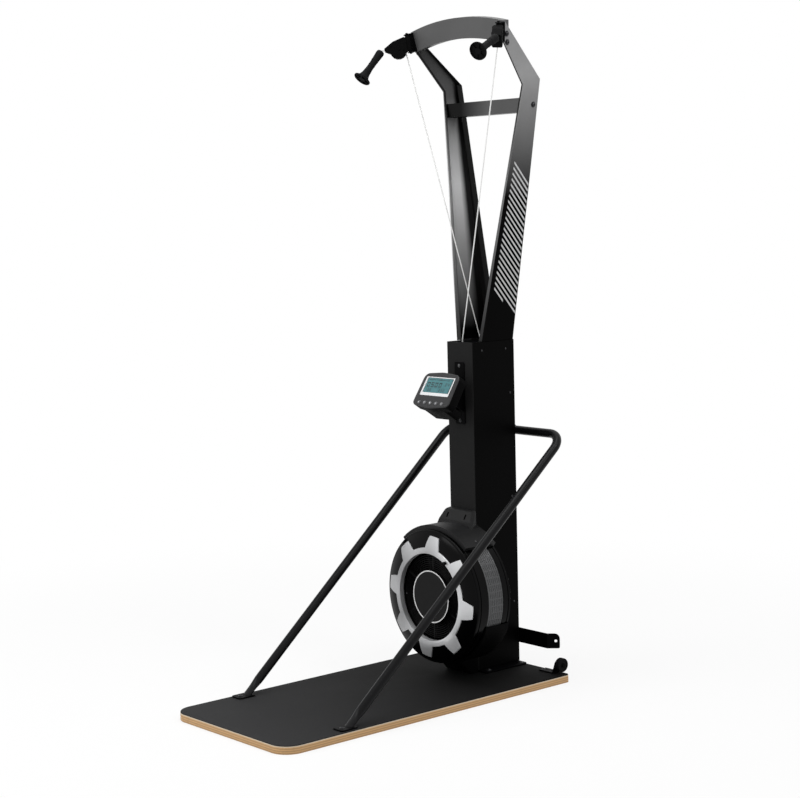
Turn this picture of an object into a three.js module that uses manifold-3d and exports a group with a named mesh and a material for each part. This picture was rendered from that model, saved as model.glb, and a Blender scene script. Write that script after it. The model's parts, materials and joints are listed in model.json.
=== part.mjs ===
// Ski ergometer: platform, column with cord drums, fan flywheel in a round housing, leaning uprights with
// swivelling pulleys and handles, tilting console, support rail, wall bracket and transport wheels.
// Millimetres, +Z up. X is to the user's right, the user stands at -Y and faces +Y.
// The origin is the centre of the platform's underside.

import * as THREE from 'three';
import { mergeVertices } from 'three/addons/utils/BufferGeometryUtils.js';
import Module from 'manifold-3d';

const wasm = await Module();
wasm.setup();

// Clearances
const FIT = 0.3;
const RUNNING = 0.1;
const SIDE_PLAY = 0.5;
const OVERRUN = 6;

// Segments round a full turn
const LARGE_TURN = 36;
const MEDIUM_TURN = 24;
const SMALL_TURN = 16;
const HOLE_TURN = 12;
const CORD_SIDES = 7;

// Platform
const DECK_WIDTH = 600;
const DECK_LENGTH = 1216;
const BOARD_THICKNESS = 25;
const MAT_THICKNESS = 3;
const FRONT_CORNER_RADIUS = 65;
const REAR_CORNER_RADIUS = 12;
const DECK_TOP = BOARD_THICKNESS + MAT_THICKNESS;
const DECK_SIDE = DECK_WIDTH / 2;
const DECK_END = DECK_LENGTH / 2;

// Column
const COLUMN_WIDTH = 125;
const COLUMN_DEPTH = 196;
const COLUMN_HEIGHT = 1135;
const COLUMN_END_INSET = 6;
const COLUMN_REAR = DECK_END - COLUMN_END_INSET;
const COLUMN_FRONT = COLUMN_REAR - COLUMN_DEPTH;
const COLUMN_TOP = DECK_TOP + COLUMN_HEIGHT;
const COLUMN_WALL = 3;
const COLUMN_LIP = 20;
const BASE_PLATE_THICKNESS = 6;
const BASE_PLATE_MARGIN = 36;
const BASE_PLATE_END_INSET = 4;
const BASE_PLATE_RADIUS = 8;
const TOP_PLATE_THICKNESS = 3;
const TOP_PLATE_DROP = 3;
const AXLE_OPENING_RADIUS = 24;
const COLUMN_INNER = COLUMN_WIDTH / 2 - COLUMN_WALL;
const COLUMN_BOTTOM = DECK_TOP + BASE_PLATE_THICKNESS + 2 * FIT;

// Uprights: the side view of the channel, with the X of its outer face growing by the lean
const WEB_THICKNESS = 3;
const WEB_FOOT_PROUD = 1.5;
const WEB_FOOT_X = COLUMN_WIDTH / 2 + WEB_FOOT_PROUD;
const WEB_LEAN_DEG = 9;
const FOOT_FRONT_SETBACK = 48;
const FOOT_REAR_INSET = 6;
const ELBOW_FRONT_SETBACK = 131;
const ELBOW_FRONT_RISE = 854;
const ELBOW_REAR_OVERHANG = 9;
const ELBOW_REAR_RISE = 874;
const HEAD_FRONT_SETBACK = 27;
const HEAD_FRONT_RISE = 988;
const HEAD_REAR_SETBACK = 21;
const HEAD_REAR_RISE = 1053;
const FOOT_FRONT_Y = COLUMN_FRONT + FOOT_FRONT_SETBACK;
const FOOT_REAR_Y = COLUMN_REAR - FOOT_REAR_INSET;
const ELBOW_FRONT_Y = COLUMN_FRONT + ELBOW_FRONT_SETBACK;
const ELBOW_FRONT_Z = COLUMN_TOP + ELBOW_FRONT_RISE;
const ELBOW_REAR_Y = COLUMN_REAR + ELBOW_REAR_OVERHANG;
const ELBOW_REAR_Z = COLUMN_TOP + ELBOW_REAR_RISE;
const HEAD_FRONT_Y = COLUMN_FRONT + HEAD_FRONT_SETBACK;
const HEAD_FRONT_Z = COLUMN_TOP + HEAD_FRONT_RISE;
const HEAD_REAR_Y = COLUMN_FRONT + HEAD_REAR_SETBACK;
const HEAD_REAR_Z = COLUMN_TOP + HEAD_REAR_RISE;
const FRONT_FLANGE_FOOT = 19;
const FRONT_FLANGE_ELBOW = 10;
const REAR_FLANGE_FOOT = 54;
const REAR_FLANGE_ELBOW = 20;
const REAR_FLANGE_HEAD = 9;
const HEM_DEPTH = 22;
const TAB_LENGTH = 60;
const TAB_INSET = 12;
const WEB_LEAN = THREE.MathUtils.degToRad(WEB_LEAN_DEG);
const WEB_LEAN_SHARE = Math.tan(WEB_LEAN);

// Crossbar
const CROSSBAR_DROP = 42;
const CROSSBAR_TOP = ELBOW_FRONT_Z - CROSSBAR_DROP;
const CROSSBAR_HEIGHT = 48;
const CROSSBAR_SETBACK = 0.5;
const CROSSBAR_FRONT = ELBOW_FRONT_Y + CROSSBAR_SETBACK;
const CROSSBAR_DEPTH = 44;

// Arched head, built upright in its own frame and leaned forward
const HEAD_SETBACK = 17;
const HEAD_RISE = 1020;
const HEAD_ORIGIN_Y = COLUMN_FRONT + HEAD_SETBACK;
const HEAD_ORIGIN_Z = COLUMN_TOP + HEAD_RISE;
const HEAD_LEAN_DEG = 7.3;
const ARCH_RADIUS = 925;
const ARCH_TOP = 64;
const ARCH_HEIGHT = 70;
const ARCH_DEPTH = 28;
const ARCH_WALL = 3;

// Pulley heads
const PULLEY_INSET = 3.55;
const PULLEY_X = WEB_FOOT_X + HEAD_RISE * WEB_LEAN_SHARE - PULLEY_INSET;
const HINGE_FORWARD = 19;
const HEAD_ROLL_DEG = 10.4;
const SWIVEL_REST_DEG = 42;
const EAR_HALF_SPAN = 32;
const EAR_THICKNESS = 3;
const EAR_RADIUS = 11;
const BRACKET_WIDTH = 26;
const HINGE_PIN_RADIUS = 4;
const HINGE_NUB = 4;
const KNUCKLE_RADIUS = 8;
const PULLEY_FORWARD = 40;
const PULLEY_DROP = 15;
const PULLEY_RADIUS = 26;
const PULLEY_GROOVE_DEPTH = 4.5;
const PULLEY_RIM = 2.5;
const PULLEY_WIDTH = 14;
const PULLEY_AXLE_RADIUS = 5;
const PULLEY_BOSS_RADIUS = 9;
const CASE_WIDTH = 34;
const CASE_WALL = 2.5;
const CASE_EDGE = 3;
const CASE_CORNER_RADIUS = 5;
const CASE_NOSE_FORWARD = 86;
const CASE_NOSE_DROP = 4;
const CASE_NOSE_HALF_HEIGHT = 5;
const CASE_SHOULDER_FORWARD = 52;
const CASE_SHOULDER_HEIGHT = 17.5;
const CASE_SHOULDER_RADIUS = 25;
const CASE_BACK_HEIGHT = 25;
const CASE_BACK_FORWARD = 8;
const CASE_LOBE_CLEARANCE = 1;
const MOUTH_LENGTH = 16;
const MOUTH_WIDTH = 26;
const NOSE_MOUTH_HEIGHT = 12;
const NOSE_MOUTH_WIDTH = 22;

// Cords
const CORD_RADIUS = 2;
const CORD_TOP_DROP = 40;
const CORD_HOLE_RADIUS = 9;
const CORD_BEND_RADIUS = 125;
const CORD_STEPS = 8;
const CORD_STUB = 4;

// Handles
const HANDLE_GAP = 12;
const HANDLE_LENGTH = 126;
const HANDLE_TOP_RADIUS = 14;
const HANDLE_WAIST_RADIUS = 11.5;
const HANDLE_NECK_RADIUS = 14;
const HANDLE_FLARE_RADIUS = 31;
const HANDLE_EDGE = 1.5;
const HANDLE_DISC_THICKNESS = 4;
const HANDLE_FLARE_STEPS = 3;
// The way in which each handle hangs: outward, forward and down
const HANDLE_SHARES = { left: [0.099, 0.638, 0.764], right: [0.249, 0.883, 0.398] };

// Drive inside the column
const SHAFT_DROP = 123;
const SHAFT_Z = COLUMN_TOP - SHAFT_DROP;
const SHAFT_RADIUS = 8.5;
const CORD_DRUM_X = 30;
const FRONT_DRUM_SETBACK = 41;
const REAR_DRUM_INSET = 69;
const FRONT_DRUM_Y = COLUMN_FRONT + FRONT_DRUM_SETBACK;
const REAR_DRUM_Y = COLUMN_REAR - REAR_DRUM_INSET;
const DRUM_WIDTH = 26;
const DRUM_FLANGE_RADIUS = 38;
const DRUM_FLANGE_THICKNESS = 2.5;
const SHEAVE_WIDTH = 20;
const SHEAVE_FLANGE_THICKNESS = 2;
const SHEAVE_FLANGE_HEIGHT = 4;
const SHAFT_SHEAVE_RADIUS = 48;
const AXLE_SHEAVE_RADIUS = 18;
const BELT_THICKNESS = 3;
const BELT_WIDTH = 14;
const SPRING_CAN_RADIUS = 40;
const SPRING_CAN_THICKNESS = 20;
const SPRING_CAN_BOSS_RADIUS = 16;
const SHAFT_END = 7;

// Flywheel and its housing, round an axis along Y; the places along Y are measured from the column's front
const HOUSING_RADIUS = 228;
const HOUSING_LIFT = 52;
const AXLE_Z = DECK_TOP + HOUSING_LIFT + HOUSING_RADIUS;
const AXLE_RADIUS = 8.5;
const HOUSING_WALL = 3;
const DOME_FORWARD = 163;
const DOME_FRONT_Y = COLUMN_FRONT - DOME_FORWARD;
const DOME_DROP = 14;
const DOME_SHOULDER = 4;
const DOME_SHOULDER_SHARE = 1 / 3;
const INLET_INSET = 75.5;
const INLET_RADIUS = HOUSING_RADIUS - INLET_INSET;
const BAND_FORWARD = 100;
const BAND_WIDTH = 66;
const BAND_FRONT_Y = COLUMN_FRONT - BAND_FORWARD;
const BAND_REAR_Y = BAND_FRONT_Y + BAND_WIDTH;
const BAND_INSET = 0.5;
const SLOT_ROWS = 3;
const SLOTS_PER_ROW = 12;
const SLOT_BRIDGE = 26;
const SLOT_WIDTH = 5;
const REAR_BOSS_RADIUS = 28;
const REAR_BOSS_DEPTH = 18;
const REAR_BOSS_FRONT_Y = COLUMN_FRONT - REAR_BOSS_DEPTH;
const BEARING_RADIUS = 20;
const BEARING_WIDTH = 12;
const FRONT_BEARING_SETBACK = 19;
const FRONT_BEARING_Y = DOME_FRONT_Y + FRONT_BEARING_SETBACK;
const FAN_SETBACK = 41;
const FAN_BACK_GAP = 22;
const FAN_FRONT_Y = DOME_FRONT_Y + FAN_SETBACK;
const FAN_REAR_Y = COLUMN_FRONT - FAN_BACK_GAP;
const FAN_CLEARANCE = 22;
const FAN_RADIUS = HOUSING_RADIUS - FAN_CLEARANCE;
const FAN_PLATE_THICKNESS = 8;
const FAN_HUB_RADIUS = 34;
const FAN_BLADES = 12;
const FAN_BLADE_THICKNESS = 3;
const FAN_BLADE_SWEEP_DEG = 12;

// Damper ring with teeth, in front of the dome and round the inlet
const RING_THICKNESS = 4;
const RING_OVERHANG = 3.5;
const RING_BODY_WIDTH = 16.5;
const RING_TOOTH_INSET = 18;
const RING_INNER_RADIUS = INLET_RADIUS - RING_OVERHANG;
const RING_BODY_RADIUS = INLET_RADIUS + RING_BODY_WIDTH;
const RING_TOOTH_RADIUS = HOUSING_RADIUS - RING_TOOTH_INSET;
const RING_LIP_DEPTH = 14;
const RING_TEETH = 8;
const RING_PHASE_DEG = 83;
const TOOTH_TIP_DEG = 12;
const TOOTH_BASE_DEG = 23;
const PEG_ANGLE_DEG = 55;
const PEG_RADIUS = 6;
const PEG_EDGE = 1;
const PEG_HEIGHT = 11;
const PEG_SETBACK = 4.5;
const PEG_CENTRE_RADIUS = INLET_RADIUS + PEG_SETBACK;

// Inlet grille and hub cap
const GRILLE_SETBACK = 18;
const GRILLE_Y = DOME_FRONT_Y + GRILLE_SETBACK;
const GRILLE_DEPTH = 4;
const GRILLE_FLANGE_WIDTH = 19.5;
const GRILLE_FLANGE_RADIUS = INLET_RADIUS + GRILLE_FLANGE_WIDTH;
const GRILLE_WALL = 2;
const GRILLE_RINGS = 3;
const GRILLE_RING_WIDTH = 6;
const GRILLE_SPOKES = 6;
const GRILLE_SPOKE_WIDTH = 8;
const GRILLE_HUB_RADIUS = 32;
const HUB_CAP_CLEARANCE = 62.5;
const HUB_CAP_RADIUS = INLET_RADIUS - HUB_CAP_CLEARANCE;
const HUB_CAP_SETBACK = 7;
const HUB_CAP_FRONT_Y = DOME_FRONT_Y + HUB_CAP_SETBACK;
const HUB_CAP_BEAD = 3.5;
const HUB_CAP_BEAD_HEIGHT = 1.2;
const GRILLE_INNER_RADIUS = HUB_CAP_RADIUS + GRILLE_WALL;
const FAN_BLADE_INNER_RADIUS = HUB_CAP_RADIUS - GRILLE_RING_WIDTH;

// Housing base and neck shroud
const CRADLE_DROP = 77;
const CRADLE_TOP = AXLE_Z - CRADLE_DROP;
const CRADLE_SETBACK = 29;
const CRADLE_FRONT_Y = DOME_FRONT_Y + CRADLE_SETBACK;
const CRADLE_TOP_INSET = 8;
const CRADLE_FOOT_INSET = 42;
const CRADLE_TOP_HALF_WIDTH = HOUSING_RADIUS - CRADLE_TOP_INSET;
const CRADLE_FOOT_HALF_WIDTH = HOUSING_RADIUS - CRADLE_FOOT_INSET;
const CRADLE_WALL = 4;
const CRADLE_RADIUS = 14;
const SHROUD_HEIGHT = 58;
const SHROUD_TOP = AXLE_Z + HOUSING_RADIUS + SHROUD_HEIGHT;
const SHROUD_TOP_HALF_WIDTH = COLUMN_WIDTH / 2 - SIDE_PLAY;
const SHROUD_FLARE = 32;
const SHROUD_FOOT_HALF_WIDTH = SHROUD_TOP_HALF_WIDTH + SHROUD_FLARE;
const SHROUD_BROW_FORWARD = 22;
const SHROUD_BROW_DROP = 6;
const SHROUD_CHIN_FORWARD = 40;
const SHROUD_CHIN_DROP = 38;
const SHROUD_LIP_FORWARD = 46;
const SHROUD_LIP_DROP = 74;
const SHROUD_BROW_Y = COLUMN_FRONT - SHROUD_BROW_FORWARD;
const SHROUD_BROW_Z = SHROUD_TOP - SHROUD_BROW_DROP;
const SHROUD_CHIN_Y = COLUMN_FRONT - SHROUD_CHIN_FORWARD;
const SHROUD_CHIN_Z = SHROUD_TOP - SHROUD_CHIN_DROP;
const SHROUD_LIP_Y = COLUMN_FRONT - SHROUD_LIP_FORWARD;
const SHROUD_LIP_Z = SHROUD_TOP - SHROUD_LIP_DROP;
const SHROUD_WALL = 3;
const SHROUD_BROW_RADIUS = 16;
const SHROUD_CHIN_RADIUS = 22;
const SHROUD_SLOT_INSET = 18;
const SHROUD_SLOT_X = SHROUD_TOP_HALF_WIDTH - SHROUD_SLOT_INSET;
const SHROUD_SLOT_WIDTH = 7;
const SHROUD_SLOT_HEIGHT = 16;
const SHROUD_SLOT_DROP = 24;
const SHROUD_SLOT_Z = SHROUD_TOP - SHROUD_SLOT_DROP;
const SKIRT_THICKNESS = 3;
const SKIRT_HALF_ANGLE_DEG = 41;
const SKIRT_RISE = 15;
const SKIRT_LAP = 36;

// Support rail
const RAIL_RADIUS = 15;
const RAIL_SIDE_INSET = 19;
const RAIL_HALF_WIDTH = DECK_SIDE - RAIL_SIDE_INSET;
const RAIL_DROP = 317;
const RAIL_Z = COLUMN_TOP - RAIL_DROP;
const RAIL_FOOT_SIDE_INSET = 32;
const RAIL_FOOT_END_INSET = 288;
const RAIL_FOOT_LIFT = 16;
const RAIL_FOOT_X = DECK_SIDE - RAIL_FOOT_SIDE_INSET;
const RAIL_FOOT_Y = -DECK_END + RAIL_FOOT_END_INSET;
const RAIL_FOOT_Z = DECK_TOP + RAIL_FOOT_LIFT;
const RAIL_BEND_RADIUS = 65;
const RAIL_BEND_STEPS = 5;
const RAIL_SIDES = 12;
const RAIL_TOE_LENGTH = 30;
const RAIL_PRESS_LENGTH = 36;
const RAIL_PRESS_TAPER = 48;
const RAIL_PRESS_STEPS = 3;
const RAIL_PRESS_THIN_SHARE = 0.45;
const RAIL_PRESS_WIDE_SHARE = 1.2;
const RAIL_Y = COLUMN_REAR + FIT + RAIL_RADIUS;
const CLAMP_HALF_WIDTH = 34;
const CLAMP_WALL = 4;
const CLAMP_EAR = 24;
const FOOT_PLATE_WIDTH = 50;
const FOOT_PLATE_REACH = 62;
const FOOT_PLATE_HEEL = 6;
const FOOT_PLATE_THICKNESS = 5;
const FOOT_PLATE_RADIUS = 10;

// Wall bracket
const STRAP_LIFT = 72;
const STRAP_BOTTOM = DECK_TOP + STRAP_LIFT;
const STRAP_HEIGHT = 52;
const STRAP_THICKNESS = 5;
const STRAP_SIDE_INSET = 101;
const STRAP_HALF_LENGTH = DECK_SIDE - STRAP_SIDE_INSET;
const STRAP_TAB_LENGTH = 44;
const STRAP_TAB_DEG = 45;
const STRAP_TAB_RADIUS = 18;
const STRAP_TAB_FOOT_RADIUS = 6;
const STRAP_HOLE_RADIUS = 5;
const STRAP_HOLE_INSET = 14;

// Transport wheels
const WHEEL_RADIUS = 24;
const WHEEL_WIDTH = 20;
const WHEEL_SIDE_INSET = 32;
const WHEEL_END_INSET = 8;
const WHEEL_LIFT = 3;
const WHEEL_X = DECK_SIDE - WHEEL_SIDE_INSET;
const WHEEL_Y = DECK_END - WHEEL_END_INSET;
const WHEEL_Z = DECK_TOP + WHEEL_RADIUS + WHEEL_LIFT;
const WHEEL_STUB_RADIUS = 5;
const WHEEL_HEAD_RADIUS = 8;
const WHEEL_HEAD_THICKNESS = 3;
const WHEEL_TREAD_EDGE = 3;
const WHEEL_BRACKET_LENGTH = 66;
const WHEEL_BRACKET_DEPTH = 34;
const WHEEL_BRACKET_THICKNESS = 4;
const WHEEL_EAR_RADIUS = 15;

// Console, in a frame tilted with its face: X right, Y into the body, Z up along the face
const CONSOLE_FORWARD = 104.3;
const CONSOLE_DROP = 143.1;
const CONSOLE_Y = COLUMN_FRONT - CONSOLE_FORWARD;
const CONSOLE_Z = COLUMN_TOP - CONSOLE_DROP;
const CONSOLE_TILT_DEG = 33;
const CONSOLE_WIDTH = 182;
const CONSOLE_TOP = 52;
const CONSOLE_BOTTOM = -79;
const CONSOLE_DEPTH = 40;
const CONSOLE_EDGE = 5;
const CONSOLE_TOP_RADIUS = 24;
const CONSOLE_BOTTOM_RADIUS = 16;
const CONSOLE_BOW_RADIUS = 170;
const CONSOLE_SWELL = 8;
const HUMP_WIDTH = 118;
const HUMP_TOP = 34;
const HUMP_BOTTOM = -58;
const HUMP_DEPTH = 15;
const HUMP_EDGE = 9;
const HUMP_RADIUS = 18;
const CELL_BOX_WIDTH = 116;
const CELL_BOX_TOP = -44;
const CELL_BOX_BOTTOM = -77;
const CELL_BOX_REACH = 100;
const CELL_BOX_EDGE = 8;
const CELL_BOX_RADIUS = 10;
const SCREEN_WIDTH = 142;
const SCREEN_HEIGHT = 71;
const SCREEN_RECESS = 3;
const SCREEN_THICKNESS = 2.4;
const LCD_WIDTH = 123;
const LCD_HEIGHT = 54;
const LCD_RECESS = 0.8;
const BUTTON_COUNT = 5;
const BUTTON_PITCH = 28.4;
const BUTTON_Z = -63;
const BUTTON_RADIUS = 7;
const BUTTON_PROUD = 2.5;
const BUTTON_WELL = 8;
const BUTTON_TRAVEL = 1.5;
const BUTTON_EDGE = 1.2;
const TILT_Y = 69;
const TILT_Z = -10;
const TILT_PIN_RADIUS = 4;
const TILT_LUG_RADIUS = 10;
const TILT_LUG_WIDTH = 30;
const TILT_KNOB_RADIUS = 14;
const TILT_KNOB_THICKNESS = 12;
const TILT_KNOB_EDGE = 1.2;
const TILT_CAP_RADIUS = 6.4;
const BRACKET_PLATE_DROP = 68;
const BRACKET_PLATE_LENGTH = 212;
const BRACKET_PLATE_TOP = COLUMN_TOP - BRACKET_PLATE_DROP;
const BRACKET_PLATE_BOTTOM = BRACKET_PLATE_TOP - BRACKET_PLATE_LENGTH;
const BRACKET_PLATE_HALF_WIDTH = 24;
const BRACKET_PLATE_RADIUS = 6;
const BRACKET_THICKNESS = 3;
const GUSSET_TOP_INSET = 87;
const GUSSET_BOTTOM_INSET = 42;
const GUSSET_TOP = BRACKET_PLATE_TOP - GUSSET_TOP_INSET;
const GUSSET_BOTTOM = BRACKET_PLATE_BOTTOM + GUSSET_BOTTOM_INSET;

// Finishes
const finish = (color, roughness, metalness) => new THREE.MeshStandardMaterial({ color, roughness, metalness });
const BLACK_PAINT = finish(0x141416, 0.45, 0.4);
const GREY_PAINT = finish(0x55575a, 0.35, 0.5);
const BLACK_PLASTIC = finish(0x17181a, 0.5, 0);
const SILVER_PLASTIC = finish(0xb9bbbd, 0.35, 0.3);
const STEEL = finish(0x9a9c9f, 0.3, 0.9);
const RUBBER = finish(0x1c1c1d, 0.85, 0);
const PLYWOOD = finish(0xc79a62, 0.6, 0);
const CORD_WHITE = finish(0xe9e9e6, 0.8, 0);
const GRILLE_GREY = finish(0x8b8d90, 0.5, 0.4);
const SCREEN_TEAL = finish(0x7fb4b6, 0.25, 0);

const rad = THREE.MathUtils.degToRad;
const X = new THREE.Vector3(1, 0, 0);
const Y = new THREE.Vector3(0, 1, 0);
const Z = new THREE.Vector3(0, 0, 1);

const part = new THREE.Group();

// Turns closed three.js geometry into a solid that can be joined and cut.
function solid(geometry) {
  const bare = geometry.clone();
  bare.deleteAttribute('normal');
  bare.deleteAttribute('uv');
  const merged = mergeVertices(bare);
  const corners = [];
  for (let i = 0; i < merged.index.count; i += 3) {
    const [a, b, c] = [0, 1, 2].map((k) => merged.index.getX(i + k));
    if (a !== b && b !== c && c !== a) corners.push(a, b, c);
  }
  return new wasm.Manifold(new wasm.Mesh({
    numProp: 3,
    vertProperties: new Float32Array(merged.attributes.position.array),
    triVerts: new Uint32Array(corners),
  }));
}

// Adds a solid to a group as a named mesh.
function add(group, name, body, material) {
  const { vertProperties, triVerts } = body.getMesh();
  const geometry = new THREE.BufferGeometry();
  geometry.setAttribute('position', new THREE.BufferAttribute(new Float32Array(vertProperties), 3));
  geometry.setIndex(new THREE.BufferAttribute(new Uint32Array(triVerts), 1));
  geometry.computeVertexNormals();
  const mesh = new THREE.Mesh(geometry, material);
  mesh.name = name;
  group.add(mesh);
  return mesh;
}

const join = (...bodies) => bodies.reduce((whole, next) => whole.add(next));
const cut = (body, ...tools) => tools.reduce((left, tool) => left.subtract(tool), body);

// An outline through corners [x, y, radius]; a corner with a radius is rounded by an arc.
function outline(corners, shape = new THREE.Shape()) {
  corners.forEach(([x, y, radius = 0], i) => {
    const here = new THREE.Vector2(x, y);
    if (!radius) {
      if (i) shape.lineTo(x, y);
      else shape.moveTo(x, y);
      return;
    }
    const next = corners[(i + 1) % corners.length];
    const back = new THREE.Vector2(...corners.at(i - 1)).sub(here).normalize();
    const ahead = new THREE.Vector2(next[0], next[1]).sub(here).normalize();
    const half = Math.acos(THREE.MathUtils.clamp(back.dot(ahead), -1, 1)) / 2;
    const start = here.clone().addScaledVector(back, radius / Math.tan(half));
    const end = here.clone().addScaledVector(ahead, radius / Math.tan(half));
    const centre = here.clone().addScaledVector(back.clone().add(ahead).normalize(), radius / Math.sin(half));
    if (i) shape.lineTo(start.x, start.y);
    else shape.moveTo(start.x, start.y);
    const [from, to] = [start, end].map((p) => Math.atan2(p.y - centre.y, p.x - centre.x));
    shape.absarc(centre.x, centre.y, radius, from, to, back.cross(ahead) > 0);
  });
  shape.closePath();
  return shape;
}

const rectangle = (x0, x1, y0, y1, radius = 0) =>
  outline([[x0, y0, radius], [x1, y0, radius], [x1, y1, radius], [x0, y1, radius]]);

const disc = (x, y, radius) => new THREE.Shape().absarc(x, y, radius, 0, 2 * Math.PI);

// Extrusions of an outline, between two places along an axis. For X the outline is drawn in Y and Z,
// for Y in X and Z, and for Z in X and Y. An edge size rounds the far and near edges.
function extrude(shape, basis, near, far, edge = 0, arc = 2) {
  const geometry = new THREE.ExtrudeGeometry(shape, {
    depth: far - near - 2 * edge,
    bevelEnabled: edge > 0,
    bevelThickness: edge,
    bevelSize: edge,
    bevelOffset: -edge,
    bevelSegments: 1,
    curveSegments: arc,
  });
  return solid(geometry.translate(0, 0, edge).applyMatrix4(basis));
}
const basisX = (near) => new THREE.Matrix4().makeBasis(Y, Z, X).setPosition(near, 0, 0);
const basisY = (far) => new THREE.Matrix4().makeBasis(X, Z, Y.clone().negate()).setPosition(0, far, 0);
const basisZ = (near) => new THREE.Matrix4().setPosition(0, 0, near);
const alongX = (shape, near, far, edge, arc) => extrude(shape, basisX(near), near, far, edge, arc);
const alongY = (shape, near, far, edge, arc) => extrude(shape, basisY(far), near, far, edge, arc);
const alongZ = (shape, near, far, edge, arc) => extrude(shape, basisZ(near), near, far, edge, arc);

const box = (x0, x1, y0, y1, z0, z1) => alongZ(rectangle(x0, x1, y0, y1), z0, z1);

// A turned solid round the Y axis, from a closed profile of [radius, y] corners.
function turned(profile, segments = MEDIUM_TURN) {
  const points = profile.map(([radius, y]) => new THREE.Vector2(radius, y));
  if (THREE.ShapeUtils.area(points) < 0) points.reverse();
  points.push(points[0].clone());
  return solid(new THREE.LatheGeometry(points, segments));
}

// A turned ring or disc of plain rectangular section.
const ring = (inner, outer, near, far, segments) =>
  turned([[inner, near], [outer, near], [outer, far], [inner, far]], segments);

// The radius of a faceted bore whose flats stay clear of a turning shaft.
const bore = (radius, segments) => (radius + RUNNING) / Math.cos(Math.PI / segments);

// Moves and turns a solid.
const placed = (body, position, rotation = new THREE.Euler()) => body.transform(
  new THREE.Matrix4().makeRotationFromEuler(rotation).setPosition(...position).toArray());

const mirrored = (body) => body.transform(new THREE.Matrix4().makeScale(-1, 1, 1).toArray());

// A route that gives an extrusion one ring at each of its points, square to the way it runs there.
class Route extends THREE.Curve {
  constructor(points) {
    super();
    this.points = points;
  }

  getPoint(t, target = new THREE.Vector3()) {
    const runs = this.points.length - 1;
    const i = Math.min(Math.floor(t * runs), runs - 1);
    return target.lerpVectors(this.points[i], this.points[i + 1], t * runs - i);
  }

  getPointAt(u, target) {
    return this.getPoint(u, target);
  }

  getTangentAt(u, target = new THREE.Vector3()) {
    const runs = this.points.length - 1;
    const i = Math.round(u * runs);
    const here = this.points[i];
    if (i > 0) target.copy(here).sub(this.points[i - 1]).normalize();
    if (i < runs) target.add(this.points[i + 1].clone().sub(here).normalize());
    return target.normalize();
  }
}

function tube_geometry(points, radius, sides) {
  const route = new Route(points);
  const corners = Array.from({ length: sides }, (_, i) => {
    const turn = (2 * Math.PI * i) / sides;
    return [radius * Math.cos(turn), radius * Math.sin(turn)];
  });
  return new THREE.ExtrudeGeometry(outline(corners), {
    steps: points.length - 1,
    extrudePath: route,
    bevelEnabled: false,
  });
}
const tube = (points, radius, sides) => solid(tube_geometry(points, radius, sides));

// Points along straight runs between corners, with each inner corner rounded.
function bent(corners, radius, steps) {
  const points = [corners[0]];
  for (let i = 1; i < corners.length - 1; i += 1) {
    const along = corners[i].clone().sub(corners[i - 1]).normalize();
    const next = corners[i + 1].clone().sub(corners[i]).normalize();
    const turn = along.angleTo(next);
    const inward = next.clone().addScaledVector(along, -Math.cos(turn)).normalize();
    const start = corners[i].clone().addScaledVector(along, -radius * Math.tan(turn / 2));
    for (let k = 0; k <= steps; k += 1) {
      const part_turn = (turn * k) / steps;
      points.push(start.clone()
        .addScaledVector(along, radius * Math.sin(part_turn))
        .addScaledVector(inward, radius * (1 - Math.cos(part_turn))));
    }
  }
  points.push(corners.at(-1));
  return points;
}

const vector = (x, y, z) => new THREE.Vector3(x, y, z);

// Platform
function platform() {
  const deck = outline([
    [-DECK_SIDE, -DECK_END, FRONT_CORNER_RADIUS], [DECK_SIDE, -DECK_END, FRONT_CORNER_RADIUS],
    [DECK_SIDE, DECK_END, REAR_CORNER_RADIUS], [-DECK_SIDE, DECK_END, REAR_CORNER_RADIUS],
  ]);
  add(part, 'platform_board', alongZ(deck, 0, BOARD_THICKNESS, 0, 3), PLYWOOD);
  add(part, 'platform_mat', alongZ(deck, BOARD_THICKNESS, DECK_TOP, 0, 3), RUBBER);
}

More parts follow.
